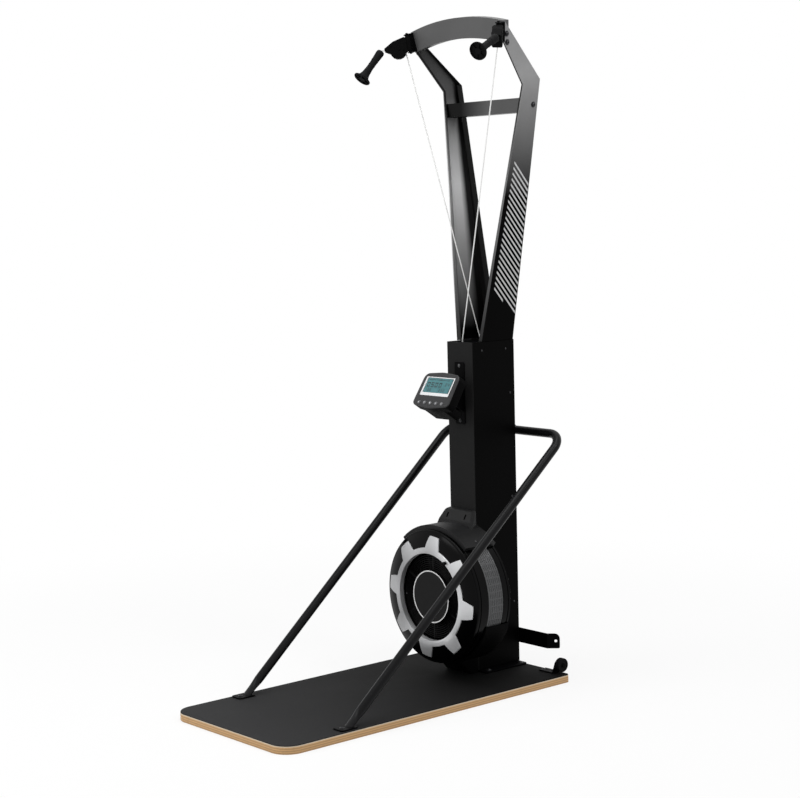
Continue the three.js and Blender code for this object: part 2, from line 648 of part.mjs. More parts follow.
// Column
function column() {
  const half = COLUMN_WIDTH / 2;
  const shell_rear = COLUMN_REAR - COLUMN_WALL - FIT;
  const lip = half - COLUMN_LIP;
  const shell = alongZ(outline([
    [-half, COLUMN_FRONT], [half, COLUMN_FRONT], [half, shell_rear], [lip, shell_rear],
    [lip, shell_rear - COLUMN_WALL], [COLUMN_INNER, shell_rear - COLUMN_WALL],
    [COLUMN_INNER, COLUMN_FRONT + COLUMN_WALL], [-COLUMN_INNER, COLUMN_FRONT + COLUMN_WALL],
    [-COLUMN_INNER, shell_rear - COLUMN_WALL], [-lip, shell_rear - COLUMN_WALL],
    [-lip, shell_rear], [-half, shell_rear],
  ]), COLUMN_BOTTOM, COLUMN_TOP);
  const opening = alongY(disc(0, AXLE_Z, AXLE_OPENING_RADIUS), COLUMN_FRONT - OVERRUN,
    COLUMN_FRONT + COLUMN_WALL + OVERRUN, 0, HOLE_TURN / 2);
  add(part, 'column_shell', cut(shell, opening), BLACK_PAINT);

  add(part, 'column_rear_cover',
    box(-half, half, COLUMN_REAR - COLUMN_WALL, COLUMN_REAR, COLUMN_BOTTOM, COLUMN_TOP), BLACK_PAINT);

  const base_half = half + BASE_PLATE_MARGIN;
  const base = rectangle(-base_half, base_half, COLUMN_FRONT + BASE_PLATE_END_INSET,
    DECK_END - BASE_PLATE_END_INSET, BASE_PLATE_RADIUS);
  add(part, 'column_base_plate',
    alongZ(base, DECK_TOP + FIT, DECK_TOP + FIT + BASE_PLATE_THICKNESS), BLACK_PAINT);

  const plate_half = COLUMN_INNER - WEB_THICKNESS - 2 * FIT;
  const plate_top = COLUMN_TOP - TOP_PLATE_DROP;
  const plate = box(-plate_half, plate_half, COLUMN_FRONT + COLUMN_WALL + FIT,
    shell_rear - COLUMN_WALL - FIT, plate_top - TOP_PLATE_THICKNESS, plate_top);
  const holes = [FRONT_DRUM_Y, REAR_DRUM_Y].map((y) => alongZ(disc(-CORD_DRUM_X, y, CORD_HOLE_RADIUS),
    plate_top - TOP_PLATE_THICKNESS - OVERRUN, plate_top + OVERRUN, 0, HOLE_TURN / 2));
  add(part, 'column_top_plate', cut(plate, ...holes), BLACK_PAINT);
}

// The right upright, in a frame whose Z runs up its leaning web and whose X points out of it.
const up_web = (z) => (z - COLUMN_TOP) / Math.cos(WEB_LEAN);
const web_x = (z) => WEB_FOOT_X + (z - COLUMN_TOP) * WEB_LEAN_SHARE;

function upright(arch_envelope) {
  const foot = FIT;
  const side = (shift, foot_rear = 0) => outline([
    [FOOT_FRONT_Y + shift, foot], [ELBOW_FRONT_Y + shift, up_web(ELBOW_FRONT_Z)],
    [HEAD_FRONT_Y + shift, up_web(HEAD_FRONT_Z)], [HEAD_REAR_Y + shift, up_web(HEAD_REAR_Z)],
    [ELBOW_REAR_Y + shift, up_web(ELBOW_REAR_Z)], [FOOT_REAR_Y + shift + foot_rear, foot],
  ].reverse());
  const deepest = REAR_FLANGE_FOOT + OVERRUN;
  const slab = (shift) => alongX(side(shift), -deepest - OVERRUN, OVERRUN);
  const full = alongX(side(0), -deepest, 0);
  const web = alongX(side(0), -WEB_THICKNESS, 0);

  // Flange outlines seen from the front: how far each reaches in from the web, by height
  const elbow = up_web(ELBOW_REAR_Z);
  const head = up_web(HEAD_REAR_Z);
  const front_reach = outline([
    [0, 0], [0, head], [-FRONT_FLANGE_ELBOW, head], [-FRONT_FLANGE_ELBOW, elbow], [-FRONT_FLANGE_FOOT, 0]]);
  const rear_reach = outline([
    [0, 0], [0, head], [-REAR_FLANGE_HEAD, head], [-REAR_FLANGE_ELBOW, elbow], [-REAR_FLANGE_FOOT, 0]]);
  const hem_strip = outline([
    [-REAR_FLANGE_FOOT, 0], [-REAR_FLANGE_FOOT + WEB_THICKNESS, 0],
    [-REAR_FLANGE_ELBOW + WEB_THICKNESS, elbow], [-REAR_FLANGE_ELBOW, elbow]]);
  const through = (shape) => alongY(shape, HEAD_REAR_Y - OVERRUN, ELBOW_REAR_Y + OVERRUN);

  const front_flange = cut(full, slab(WEB_THICKNESS)).intersect(through(front_reach));
  const rear_flange = cut(full, slab(-WEB_THICKNESS)).intersect(through(rear_reach));
  const hem = cut(full, slab(-HEM_DEPTH)).intersect(through(hem_strip));
  const leaning = placed(join(web, front_flange, rear_flange, hem),
    [WEB_FOOT_X, 0, COLUMN_TOP], new THREE.Euler(0, WEB_LEAN, 0));

  // The foot steps in to a tab that is bolted to the inside of the column
  const tab_outer = COLUMN_INNER - FIT;
  const tab_inner = tab_outer - WEB_THICKNESS;
  const tab = box(tab_inner, tab_outer, FOOT_FRONT_Y + TAB_INSET, FOOT_REAR_Y - 2 * TAB_INSET,
    COLUMN_TOP - TAB_LENGTH, COLUMN_TOP + WEB_THICKNESS);
  const step = box(tab_inner, WEB_FOOT_X - WEB_THICKNESS / 2, FOOT_FRONT_Y + TAB_INSET,
    FOOT_REAR_Y - 2 * TAB_INSET, COLUMN_TOP + FIT, COLUMN_TOP + WEB_THICKNESS);
  const above = box(-DECK_WIDTH, DECK_WIDTH, COLUMN_FRONT - OVERRUN, DECK_LENGTH,
    COLUMN_TOP - COLUMN_WIDTH, COLUMN_TOP + FIT);
  return cut(join(cut(leaning, above), tab, step), arch_envelope);
}

// The arched head and the pulley heads stand in a frame that leans forward.
const head_frame = new THREE.Group();
head_frame.position.set(0, HEAD_ORIGIN_Y, HEAD_ORIGIN_Z);
head_frame.rotation.x = rad(HEAD_LEAN_DEG);
part.add(head_frame);
part.updateMatrixWorld(true);

function arch_band(margin) {
  const end = web_x(HEAD_ORIGIN_Z) - WEB_THICKNESS / Math.cos(WEB_LEAN) - FIT;
  const centre = ARCH_TOP - ARCH_RADIUS;
  const sector = (outer, inner) => {
    const reach = Math.asin((end + ARCH_HEIGHT) / ARCH_RADIUS);
    const shape = new THREE.Shape();
    shape.absarc(0, centre, outer, Math.PI / 2 - reach, Math.PI / 2 + reach, false);
    shape.absarc(0, centre, inner, Math.PI / 2 + reach, Math.PI / 2 - reach, true);
    return shape;
  };
  const lean = ARCH_TOP * WEB_LEAN_SHARE;
  const ends = (inset, grow) => outline([
    [-end - grow - lean + inset, ARCH_TOP], [-end - grow + lean + inset, -ARCH_TOP],
    [end + grow - lean - inset, -ARCH_TOP], [end + grow + lean - inset, ARCH_TOP]]);
  const arc = 10;
  const outer = alongY(sector(ARCH_RADIUS + margin, ARCH_RADIUS - ARCH_HEIGHT - margin),
    -margin, ARCH_DEPTH + margin, 0, arc)
    .intersect(alongY(ends(0, margin), -OVERRUN, ARCH_DEPTH + OVERRUN));
  if (margin) return outer;
  const pocket = alongY(sector(ARCH_RADIUS - ARCH_WALL, ARCH_RADIUS - ARCH_HEIGHT + ARCH_WALL),
    ARCH_WALL, ARCH_DEPTH + OVERRUN, 0, arc)
    .intersect(alongY(ends(ARCH_WALL, 0), 0, ARCH_DEPTH + 2 * OVERRUN));
  return cut(outer, pocket);
}

function frame() {
  add(head_frame, 'arch', arch_band(0), GREY_PAINT);
  const envelope = arch_band(FIT).transform(head_frame.matrixWorld.toArray());
  const right = upright(envelope);
  add(part, 'right_upright', right, BLACK_PAINT);
  add(part, 'left_upright', mirrored(right), BLACK_PAINT);

  const bottom = CROSSBAR_TOP - CROSSBAR_HEIGHT;
  const end = (z, inset) => web_x(z) - WEB_THICKNESS / Math.cos(WEB_LEAN) - FIT - inset;
  const face = (low, high, inset) => outline([
    [-end(low, inset), low], [end(low, inset), low], [end(high, inset), high], [-end(high, inset), high]]);
  const bar = alongY(face(bottom, CROSSBAR_TOP, 0), CROSSBAR_FRONT, CROSSBAR_FRONT + CROSSBAR_DEPTH);
  const pocket = alongY(face(bottom + WEB_THICKNESS, CROSSBAR_TOP - WEB_THICKNESS, WEB_THICKNESS),
    CROSSBAR_FRONT + WEB_THICKNESS, CROSSBAR_FRONT + CROSSBAR_DEPTH + OVERRUN);
  add(part, 'crossbar', cut(bar, pocket), BLACK_PAINT);
}

// Pulley heads: a bracket on the arch, and a case that swivels in it
const CORD_FORWARD = PULLEY_FORWARD - PULLEY_RADIUS + PULLEY_GROOVE_DEPTH - CORD_RADIUS;
const PULLEY_PITCH_RADIUS = PULLEY_FORWARD - CORD_FORWARD;

function pulley_bracket() {
  const face = HINGE_FORWARD - FIT;
  const plate = box(-BRACKET_WIDTH / 2, BRACKET_WIDTH / 2, face - EAR_THICKNESS, face,
    -EAR_HALF_SPAN, EAR_HALF_SPAN);
  const ear = outline([[-EAR_RADIUS, face - EAR_THICKNESS], [-EAR_RADIUS, -EAR_RADIUS, EAR_RADIUS - FIT],
    [EAR_RADIUS, -EAR_RADIUS, EAR_RADIUS - FIT], [EAR_RADIUS, face - EAR_THICKNESS]]);
  const pin_hole = alongZ(disc(0, 0, bore(HINGE_PIN_RADIUS, HOLE_TURN)),
    -EAR_HALF_SPAN - OVERRUN, EAR_HALF_SPAN + OVERRUN, 0, HOLE_TURN / 2);
  const ears = join(alongZ(ear, EAR_HALF_SPAN - EAR_THICKNESS, EAR_HALF_SPAN),
    alongZ(ear, -EAR_HALF_SPAN, -EAR_HALF_SPAN + EAR_THICKNESS));
  return cut(join(plate, ears), pin_hole);
}

// The case points along -Y; its outline is drawn in Y and Z.
function pulley_case() {
  const lobe_radius = PULLEY_RADIUS + CASE_LOBE_CLEARANCE + CASE_WALL;
  const crown = (inset) => outline([
    [-CASE_BACK_FORWARD - inset, CASE_BACK_HEIGHT - inset, CASE_CORNER_RADIUS],
    [-CASE_SHOULDER_FORWARD + inset, CASE_SHOULDER_HEIGHT - inset, CASE_SHOULDER_RADIUS],
    [-CASE_NOSE_FORWARD + inset, -CASE_NOSE_DROP + CASE_NOSE_HALF_HEIGHT],
    [-CASE_NOSE_FORWARD + inset, -CASE_NOSE_DROP - CASE_NOSE_HALF_HEIGHT],
    [-PULLEY_FORWARD, -PULLEY_DROP - lobe_radius + PULLEY_GROOVE_DEPTH],
    [-CASE_BACK_FORWARD - inset, -CASE_BACK_HEIGHT + inset, CASE_CORNER_RADIUS],
  ].reverse());
  const lobe = (radius) => disc(-PULLEY_FORWARD, -PULLEY_DROP, radius);
  const half = CASE_WIDTH / 2;
  const outside = join(
    alongX(crown(0), -half, half, CASE_EDGE),
    alongX(lobe(lobe_radius), -half, half, CASE_EDGE, SMALL_TURN / 2));
  const hollow = join(
    alongX(crown(CASE_WALL), -half + CASE_WALL, half - CASE_WALL),
    alongX(lobe(lobe_radius - CASE_WALL), -half + CASE_WALL, half - CASE_WALL, 0, SMALL_TURN / 2));
  const boss_face = PULLEY_WIDTH / 2 + SIDE_PLAY;
  const boss = (from, to) => alongX(disc(-PULLEY_FORWARD, -PULLEY_DROP, PULLEY_BOSS_RADIUS), from, to, 0,
    HOLE_TURN / 2);
  const axle = alongX(disc(-PULLEY_FORWARD, -PULLEY_DROP, PULLEY_AXLE_RADIUS), -half + CASE_WALL / 2,
    half - CASE_WALL / 2, 0, HOLE_TURN / 2);
  const mouth = box(-MOUTH_WIDTH / 2, MOUTH_WIDTH / 2, -CORD_FORWARD - MOUTH_LENGTH / 2,
    -CORD_FORWARD + MOUTH_LENGTH / 2 - CASE_WALL, -PULLEY_DROP - lobe_radius - OVERRUN, -PULLEY_DROP);
  const nose_mouth = box(-NOSE_MOUTH_WIDTH / 2, NOSE_MOUTH_WIDTH / 2,
    -CASE_NOSE_FORWARD - OVERRUN, -CASE_NOSE_FORWARD + 2 * OVERRUN,
    -CASE_NOSE_DROP - NOSE_MOUTH_HEIGHT / 2, -CASE_NOSE_DROP + NOSE_MOUTH_HEIGHT / 2);
  const knuckle_half = EAR_HALF_SPAN - EAR_THICKNESS - FIT;
  const knuckle = alongZ(disc(0, 0, KNUCKLE_RADIUS), -knuckle_half, knuckle_half, 0, HOLE_TURN / 2);
  const neck = box(-KNUCKLE_RADIUS, KNUCKLE_RADIUS, -CASE_BACK_FORWARD - CASE_WALL, 0,
    -CASE_BACK_HEIGHT + CASE_EDGE, CASE_BACK_HEIGHT - CASE_EDGE);
  const pin = alongZ(disc(0, 0, HINGE_PIN_RADIUS), -EAR_HALF_SPAN - HINGE_NUB,
    EAR_HALF_SPAN + HINGE_NUB, 0, HOLE_TURN / 2);
  const shell = cut(outside, hollow, mouth, nose_mouth);
  return join(shell, boss(-half + CASE_WALL / 2, -boss_face), boss(boss_face, half - CASE_WALL / 2),
    axle, knuckle, neck, pin);
}

function pulley_wheel() {
  const half = PULLEY_WIDTH / 2;
  const groove = PULLEY_RADIUS - PULLEY_GROOVE_DEPTH;
  const hole = bore(PULLEY_AXLE_RADIUS, HOLE_TURN);
  const wheel = turned([[hole, -half], [PULLEY_RADIUS, -half], [PULLEY_RADIUS, -half + PULLEY_RIM],
    [groove - FIT, -CORD_RADIUS], [groove - FIT, CORD_RADIUS], [PULLEY_RADIUS, half - PULLEY_RIM],
    [PULLEY_RADIUS, half], [hole, half]], HOLE_TURN);
  return placed(wheel, [0, -PULLEY_FORWARD, -PULLEY_DROP], new THREE.Euler(0, 0, Math.PI / 2));
}

const handle_direction = (side, [outward, forward, down]) =>
  vector(side * outward, -forward, -down).normalize();

// The cord inside a case: up from the mouth, over the wheel and out of the nose to the handle.
function cord_lead(ends) {
  const centre = vector(0, -PULLEY_FORWARD, -PULLEY_DROP);
  const nose = vector(0, -CASE_NOSE_FORWARD, -CASE_NOSE_DROP);
  const reach = nose.clone().sub(centre);
  const leave = Math.atan2(reach.z, -reach.y) + Math.acos(PULLEY_PITCH_RADIUS / reach.length());
  const points = [vector(0, -CORD_FORWARD, -CORD_TOP_DROP + FIT)];
  for (let i = 0; i <= CORD_STEPS; i += 1) {
    const turn = Math.PI + ((leave - Math.PI) * i) / CORD_STEPS;
    points.push(vector(0, centre.y - PULLEY_PITCH_RADIUS * Math.cos(turn),
      centre.z + PULLEY_PITCH_RADIUS * Math.sin(turn)));
  }
  points.push(nose, ...ends);
  return tube(points, CORD_RADIUS, CORD_SIDES);
}

function handle() {
  const neck = HANDLE_LENGTH - HANDLE_FLARE_RADIUS;
  const disc_top = HANDLE_LENGTH - HANDLE_DISC_THICKNESS;
  const profile = [[0, 0], [HANDLE_TOP_RADIUS - HANDLE_EDGE, 0], [HANDLE_TOP_RADIUS, HANDLE_EDGE],
    [HANDLE_WAIST_RADIUS, neck / 2], [HANDLE_WAIST_RADIUS, neck - HANDLE_TOP_RADIUS]];
  for (let i = 0; i <= HANDLE_FLARE_STEPS; i += 1) {
    const turn = (Math.PI / 2) * (i / HANDLE_FLARE_STEPS);
    profile.push([HANDLE_FLARE_RADIUS - (HANDLE_FLARE_RADIUS - HANDLE_NECK_RADIUS) * Math.cos(turn),
      neck + (disc_top - neck) * Math.sin(turn)]);
  }
  profile.push([HANDLE_FLARE_RADIUS, HANDLE_LENGTH - HANDLE_EDGE],
    [HANDLE_FLARE_RADIUS - HANDLE_EDGE, HANDLE_LENGTH], [0, HANDLE_LENGTH]);
  return turned(profile, SMALL_TURN);
}

function pulley_head(side, name) {
  const head = new THREE.Group();
  head.position.set(side * PULLEY_X, -HINGE_FORWARD, 0);
  head.rotation.y = side * rad(HEAD_ROLL_DEG);
  head_frame.add(head);
  add(head, `${name}_pulley_bracket`, pulley_bracket(), BLACK_PAINT);

  const swivel = new THREE.Group();
  swivel.rotation.z = side * rad(SWIVEL_REST_DEG);
  head.add(swivel);
  part.updateMatrixWorld(true);
  add(swivel, `${name}_pulley_case`, pulley_case(), BLACK_PLASTIC);
  add(swivel, `${name}_pulley_wheel`, pulley_wheel(), BLACK_PLASTIC);

  const direction = handle_direction(side, HANDLE_SHARES[name]);
  const grip_top = swivel.localToWorld(vector(0, -CASE_NOSE_FORWARD - HANDLE_GAP, -CASE_NOSE_DROP));
  const cord_ends = [CORD_STUB, FIT].map((back) =>
    swivel.worldToLocal(grip_top.clone().addScaledVector(direction, -back)));
  add(swivel, `${name}_cord_lead`, cord_lead(cord_ends), CORD_WHITE);

  const grip = add(part, `${name}_handle`, handle(), RUBBER);
  grip.position.copy(grip_top);
  grip.quaternion.setFromUnitVectors(Y, direction);

  // The long stretch of cord, down through the top plate to the drum
  const drum_y = side > 0 ? FRONT_DRUM_Y : REAR_DRUM_Y;
  const top = swivel.localToWorld(vector(0, -CORD_FORWARD, -CORD_TOP_DROP));
  const eye = vector(-CORD_DRUM_X, drum_y, COLUMN_TOP - TOP_PLATE_DROP);
  const points = bent([top, eye, vector(-CORD_DRUM_X, drum_y, SHAFT_Z)], CORD_BEND_RADIUS, 2);
  add(part, `${name}_cord`, tube(points, CORD_RADIUS, CORD_SIDES), CORD_WHITE);
}

// Drive inside the column, round the shaft's axis
function sheave(radius, y, hole) {
  const half = SHEAVE_WIDTH / 2;
  const flange = radius + SHEAVE_FLANGE_HEIGHT;
  const inner = half - SHEAVE_FLANGE_THICKNESS;
  return turned([[hole, y - half], [flange, y - half], [flange, y - inner], [radius, y - inner],
    [radius, y + inner], [flange, y + inner], [flange, y + half], [hole, y + half]], HOLE_TURN);
}

function drum(y) {
  const half = DRUM_WIDTH / 2;
  const inner = half - DRUM_FLANGE_THICKNESS;
  const core = CORD_DRUM_X - CORD_RADIUS - FIT;
  const hole = bore(SHAFT_RADIUS, HOLE_TURN);
  return turned([[hole, y - half], [DRUM_FLANGE_RADIUS, y - half], [DRUM_FLANGE_RADIUS, y - inner],
    [core, y - inner], [core, y + inner], [DRUM_FLANGE_RADIUS, y + inner], [DRUM_FLANGE_RADIUS, y + half],
    [hole, y + half]], HOLE_TURN);
}

function drive() {
  const shaft_line = new THREE.Group();
  shaft_line.position.z = SHAFT_Z;
  part.add(shaft_line);
  const middle_y = (FRONT_DRUM_Y + REAR_DRUM_Y) / 2;
  const front_wall = COLUMN_FRONT + COLUMN_WALL + FIT;
  const rear_wall = COLUMN_REAR - COLUMN_WALL - FIT;
  const hole = bore(SHAFT_RADIUS, HOLE_TURN);

  add(shaft_line, 'front_drum', drum(FRONT_DRUM_Y), BLACK_PLASTIC);
  add(shaft_line, 'rear_drum', drum(REAR_DRUM_Y), BLACK_PLASTIC);
  add(shaft_line, 'shaft_sheave', sheave(SHAFT_SHEAVE_RADIUS, middle_y, SHAFT_RADIUS + FIT), STEEL);
  add(shaft_line, 'front_spring_can', turned([[hole, front_wall], [SPRING_CAN_RADIUS, front_wall],
    [SPRING_CAN_RADIUS, front_wall + SPRING_CAN_THICKNESS], [hole, front_wall + SPRING_CAN_THICKNESS]],
  HOLE_TURN), STEEL);
  const can_front = REAR_DRUM_Y + DRUM_WIDTH / 2 + 2 * SIDE_PLAY;
  const can_rear = can_front + SPRING_CAN_THICKNESS;
  add(shaft_line, 'rear_spring_can', turned([[hole, can_front], [SPRING_CAN_RADIUS, can_front],
    [SPRING_CAN_RADIUS, can_rear], [SPRING_CAN_BOSS_RADIUS, can_rear], [SPRING_CAN_BOSS_RADIUS, rear_wall],
    [hole, rear_wall]], HOLE_TURN), STEEL);
  add(shaft_line, 'drive_shaft', ring(0, SHAFT_RADIUS, front_wall + FIT, can_rear + SHAFT_END,
    HOLE_TURN), STEEL);

  // The belt runs round both sheaves; its sides are the outer tangents of the two circles
  const drop = SHAFT_Z - AXLE_Z;
  const loop = (grow, Kind) => {
    const [top, bottom] = [SHAFT_SHEAVE_RADIUS, AXLE_SHEAVE_RADIUS].map((radius) => radius + grow);
    const tilt = Math.asin((top - bottom) / drop);
    const shape = new Kind();
    shape.absarc(0, SHAFT_Z, top, -tilt, Math.PI + tilt, false);
    shape.absarc(0, AXLE_Z, bottom, Math.PI + tilt, 2 * Math.PI - tilt, false);
    shape.closePath();
    return shape;
  };
  const inner_gap = 2 * FIT;
  const belt = loop(inner_gap + BELT_THICKNESS, THREE.Shape);
  belt.holes.push(loop(inner_gap, THREE.Path));
  add(part, 'drive_belt',
    alongY(belt, middle_y - BELT_WIDTH / 2, middle_y + BELT_WIDTH / 2, 0, HOLE_TURN / 2), RUBBER);
}

// Flywheel and housing, round the axle
const dome = (radius) => {
  const share = (radius - INLET_RADIUS) / (HOUSING_RADIUS - DOME_SHOULDER - INLET_RADIUS);
  return DOME_FRONT_Y + DOME_DROP * share ** 2;
};

const GRILLE_SEAT_Y = dome(GRILLE_FLANGE_RADIUS) + HOUSING_WALL;

function dome_points(from, to, offset, steps = 3) {
  return Array.from({ length: steps + 1 }, (_, i) => {
    const radius = from + ((to - from) * i) / steps;
    return [radius, dome(radius) + offset];
  });
}

function damper_ring() {
  const front = dome_points(INLET_RADIUS, RING_TOOTH_RADIUS, -FIT - RING_THICKNESS);
  const back = dome_points(RING_TOOTH_RADIUS, INLET_RADIUS, -FIT);
  const lip_radius = INLET_RADIUS * Math.cos(Math.PI / LARGE_TURN) - RUNNING;
  const front_y = dome(INLET_RADIUS) - FIT - RING_THICKNESS;
  const blank = turned([[RING_INNER_RADIUS, front_y], ...front, ...back,
    [lip_radius, dome(INLET_RADIUS) - FIT], [lip_radius, dome(INLET_RADIUS) + RING_LIP_DEPTH],
    [RING_INNER_RADIUS, dome(INLET_RADIUS) + RING_LIP_DEPTH]], LARGE_TURN);
  const pitch = 2 * Math.PI / RING_TEETH;
  const gaps = Array.from({ length: RING_TEETH }, (_, i) => {
    const tooth = rad(RING_PHASE_DEG) + i * pitch;
    const [base_from, base_to] = [tooth + rad(TOOTH_BASE_DEG) / 2, tooth + pitch - rad(TOOTH_BASE_DEG) / 2];
    const [tip_from, tip_to] = [tooth + rad(TOOTH_TIP_DEG) / 2, tooth + pitch - rad(TOOTH_TIP_DEG) / 2];
    const outside = RING_TOOTH_RADIUS + OVERRUN;
    const gap = new THREE.Shape();
    gap.moveTo(outside * Math.cos(tip_from), outside * Math.sin(tip_from));
    gap.lineTo(RING_BODY_RADIUS * Math.cos(base_from), RING_BODY_RADIUS * Math.sin(base_from));
    gap.absarc(0, 0, RING_BODY_RADIUS, base_from, base_to, false);
    gap.lineTo(outside * Math.cos(tip_to), outside * Math.sin(tip_to));
    gap.lineTo(2 * outside * Math.cos(tooth + pitch / 2), 2 * outside * Math.sin(tooth + pitch / 2));
    gap.closePath();
    return alongY(gap, DOME_FRONT_Y - RING_THICKNESS - OVERRUN, BAND_FRONT_Y, 0, 3);
  });
  const peg_turn = rad(PEG_ANGLE_DEG);
  const peg = alongY(disc(PEG_CENTRE_RADIUS * Math.cos(peg_turn), PEG_CENTRE_RADIUS * Math.sin(peg_turn),
    PEG_RADIUS), front_y - PEG_HEIGHT, front_y + RING_THICKNESS / 2, PEG_EDGE, HOLE_TURN / 2);
  return join(cut(blank, ...gaps), peg);
}

function front_housing() {
  const shoulder = HOUSING_RADIUS - DOME_SHOULDER;
  const wall_front = DOME_FRONT_Y + DOME_DROP + DOME_SHOULDER;
  const rear = BAND_FRONT_Y - FIT;
  return turned([...dome_points(INLET_RADIUS, shoulder, 0),
    [HOUSING_RADIUS - DOME_SHOULDER * DOME_SHOULDER_SHARE,
      wall_front - DOME_SHOULDER * (1 - DOME_SHOULDER_SHARE)],
    [HOUSING_RADIUS, wall_front],
    [HOUSING_RADIUS, rear], [HOUSING_RADIUS - HOUSING_WALL, rear],
    [HOUSING_RADIUS - HOUSING_WALL, wall_front + HOUSING_WALL],
    [GRILLE_FLANGE_RADIUS + HOUSING_WALL, GRILLE_SEAT_Y], [INLET_RADIUS, GRILLE_SEAT_Y]], LARGE_TURN);
}

function outlet_band() {
  const outer = HOUSING_RADIUS - BAND_INSET;
  const band = ring(outer - HOUSING_WALL, outer, BAND_FRONT_Y, BAND_REAR_Y, LARGE_TURN);
  const row_pitch = BAND_WIDTH / (SLOT_ROWS + 1);
  const slot_length = 2 * Math.PI * outer / SLOTS_PER_ROW - SLOT_BRIDGE;
  const slots = [];
  for (let row = 1; row <= SLOT_ROWS; row += 1) {
    for (let i = 0; i < SLOTS_PER_ROW; i += 1) {
      const slot = box(-slot_length / 2, slot_length / 2, -SLOT_WIDTH / 2, SLOT_WIDTH / 2,
        outer - HOUSING_WALL - 2 * OVERRUN, outer + OVERRUN);
      const turn = new THREE.Euler(0, (2 * Math.PI * i) / SLOTS_PER_ROW + Math.PI / LARGE_TURN, 0);
      slots.push(placed(placed(slot, [0, 0, 0], turn), [0, BAND_FRONT_Y + row * row_pitch, 0]));
    }
  }
  return cut(band, ...slots);
}

// A shallow cup, with a boss inside that seats the bearing and a hole for the axle
function rear_housing() {
  const back = COLUMN_FRONT - FIT;
  const inside = back - HOUSING_WALL;
  const cup = turned([[0, back], [HOUSING_RADIUS, back], [HOUSING_RADIUS, BAND_REAR_Y + FIT],
    [HOUSING_RADIUS - HOUSING_WALL, BAND_REAR_Y + FIT], [HOUSING_RADIUS - HOUSING_WALL, inside], [0, inside]],
  LARGE_TURN);
  const boss = ring(BEARING_RADIUS + FIT, REAR_BOSS_RADIUS, REAR_BOSS_FRONT_Y, back - HOUSING_WALL / 2,
    SMALL_TURN);
  const hole = ring(0, AXLE_RADIUS + HOUSING_WALL, inside - OVERRUN, back + OVERRUN, SMALL_TURN);
  return cut(join(cup, boss), hole);
}

function inlet_grille() {
  const seat_y = GRILLE_SEAT_Y + FIT;
  const wall_inner = INLET_RADIUS + GRILLE_WALL;
  const back = GRILLE_Y + GRILLE_DEPTH;
  const pan = turned([[wall_inner, seat_y], [GRILLE_FLANGE_RADIUS, seat_y],
    [GRILLE_FLANGE_RADIUS, seat_y + GRILLE_WALL], [wall_inner + GRILLE_WALL, seat_y + GRILLE_WALL],
    [wall_inner + GRILLE_WALL, back], [wall_inner - GRILLE_RING_WIDTH, back],
    [wall_inner - GRILLE_RING_WIDTH, GRILLE_Y], [wall_inner, GRILLE_Y]], MEDIUM_TURN);
  const pitch = (wall_inner - GRILLE_RING_WIDTH - GRILLE_INNER_RADIUS) / GRILLE_RINGS;
  const rings = Array.from({ length: GRILLE_RINGS }, (_, i) => {
    const inner = GRILLE_INNER_RADIUS + i * pitch;
    return ring(inner, inner + GRILLE_RING_WIDTH, GRILLE_Y, back, MEDIUM_TURN);
  });
  const hub = ring(BEARING_RADIUS + FIT, GRILLE_HUB_RADIUS, HUB_CAP_FRONT_Y + 2 * HOUSING_WALL + FIT,
    FRONT_BEARING_Y + BEARING_WIDTH, SMALL_TURN);
  const spoke = box(GRILLE_HUB_RADIUS - GRILLE_WALL, wall_inner + GRILLE_WALL / 2, GRILLE_Y + GRILLE_DEPTH / 4,
    back, -GRILLE_SPOKE_WIDTH / 2, GRILLE_SPOKE_WIDTH / 2);
  const spokes = Array.from({ length: GRILLE_SPOKES }, (_, i) =>
    placed(spoke, [0, 0, 0], new THREE.Euler(0, (2 * Math.PI * (i + 0.5)) / GRILLE_SPOKES, 0)));
  return join(pan, ...rings, hub, ...spokes);
}

function hub_cap() {
  const front = HUB_CAP_FRONT_Y;
  const bead = HUB_CAP_RADIUS - HUB_CAP_BEAD;
  const rear = GRILLE_Y - FIT;
  return turned([[0, front], [bead, front], [bead, front - HUB_CAP_BEAD_HEIGHT],
    [HUB_CAP_RADIUS, front - HUB_CAP_BEAD_HEIGHT], [HUB_CAP_RADIUS, rear],
    [HUB_CAP_RADIUS - HOUSING_WALL, rear], [HUB_CAP_RADIUS - HOUSING_WALL, front + HOUSING_WALL],
    [GRILLE_HUB_RADIUS, front + HOUSING_WALL], [GRILLE_HUB_RADIUS, front + 2 * HOUSING_WALL],
    [0, front + 2 * HOUSING_WALL]], MEDIUM_TURN);
}

function flywheel_fan() {
  const hole = AXLE_RADIUS + FIT;
  const plate_front = FAN_REAR_Y - FAN_PLATE_THICKNESS;
  const wheel = turned([[hole, FAN_FRONT_Y], [FAN_HUB_RADIUS, FAN_FRONT_Y], [FAN_HUB_RADIUS, plate_front],
    [FAN_RADIUS, plate_front], [FAN_RADIUS, FAN_REAR_Y], [hole, FAN_REAR_Y]], MEDIUM_TURN);
  const length = FAN_RADIUS - FAN_BLADE_INNER_RADIUS;
  const sweep = Math.tan(rad(FAN_BLADE_SWEEP_DEG)) * length;
  const half = FAN_BLADE_THICKNESS / 2;
  const end = FAN_RADIUS - 2 * FAN_BLADE_THICKNESS;
  const blade = alongY(outline([[FAN_BLADE_INNER_RADIUS, -half], [end, sweep - half], [end, sweep + half],
    [FAN_BLADE_INNER_RADIUS, half]]), FAN_FRONT_Y + FAN_PLATE_THICKNESS, plate_front + FAN_PLATE_THICKNESS / 2);
  const blades = Array.from({ length: FAN_BLADES }, (_, i) =>
    placed(blade, [0, 0, 0], new THREE.Euler(0, (2 * Math.PI * i) / FAN_BLADES, 0)));
  return join(wheel, ...blades);
}

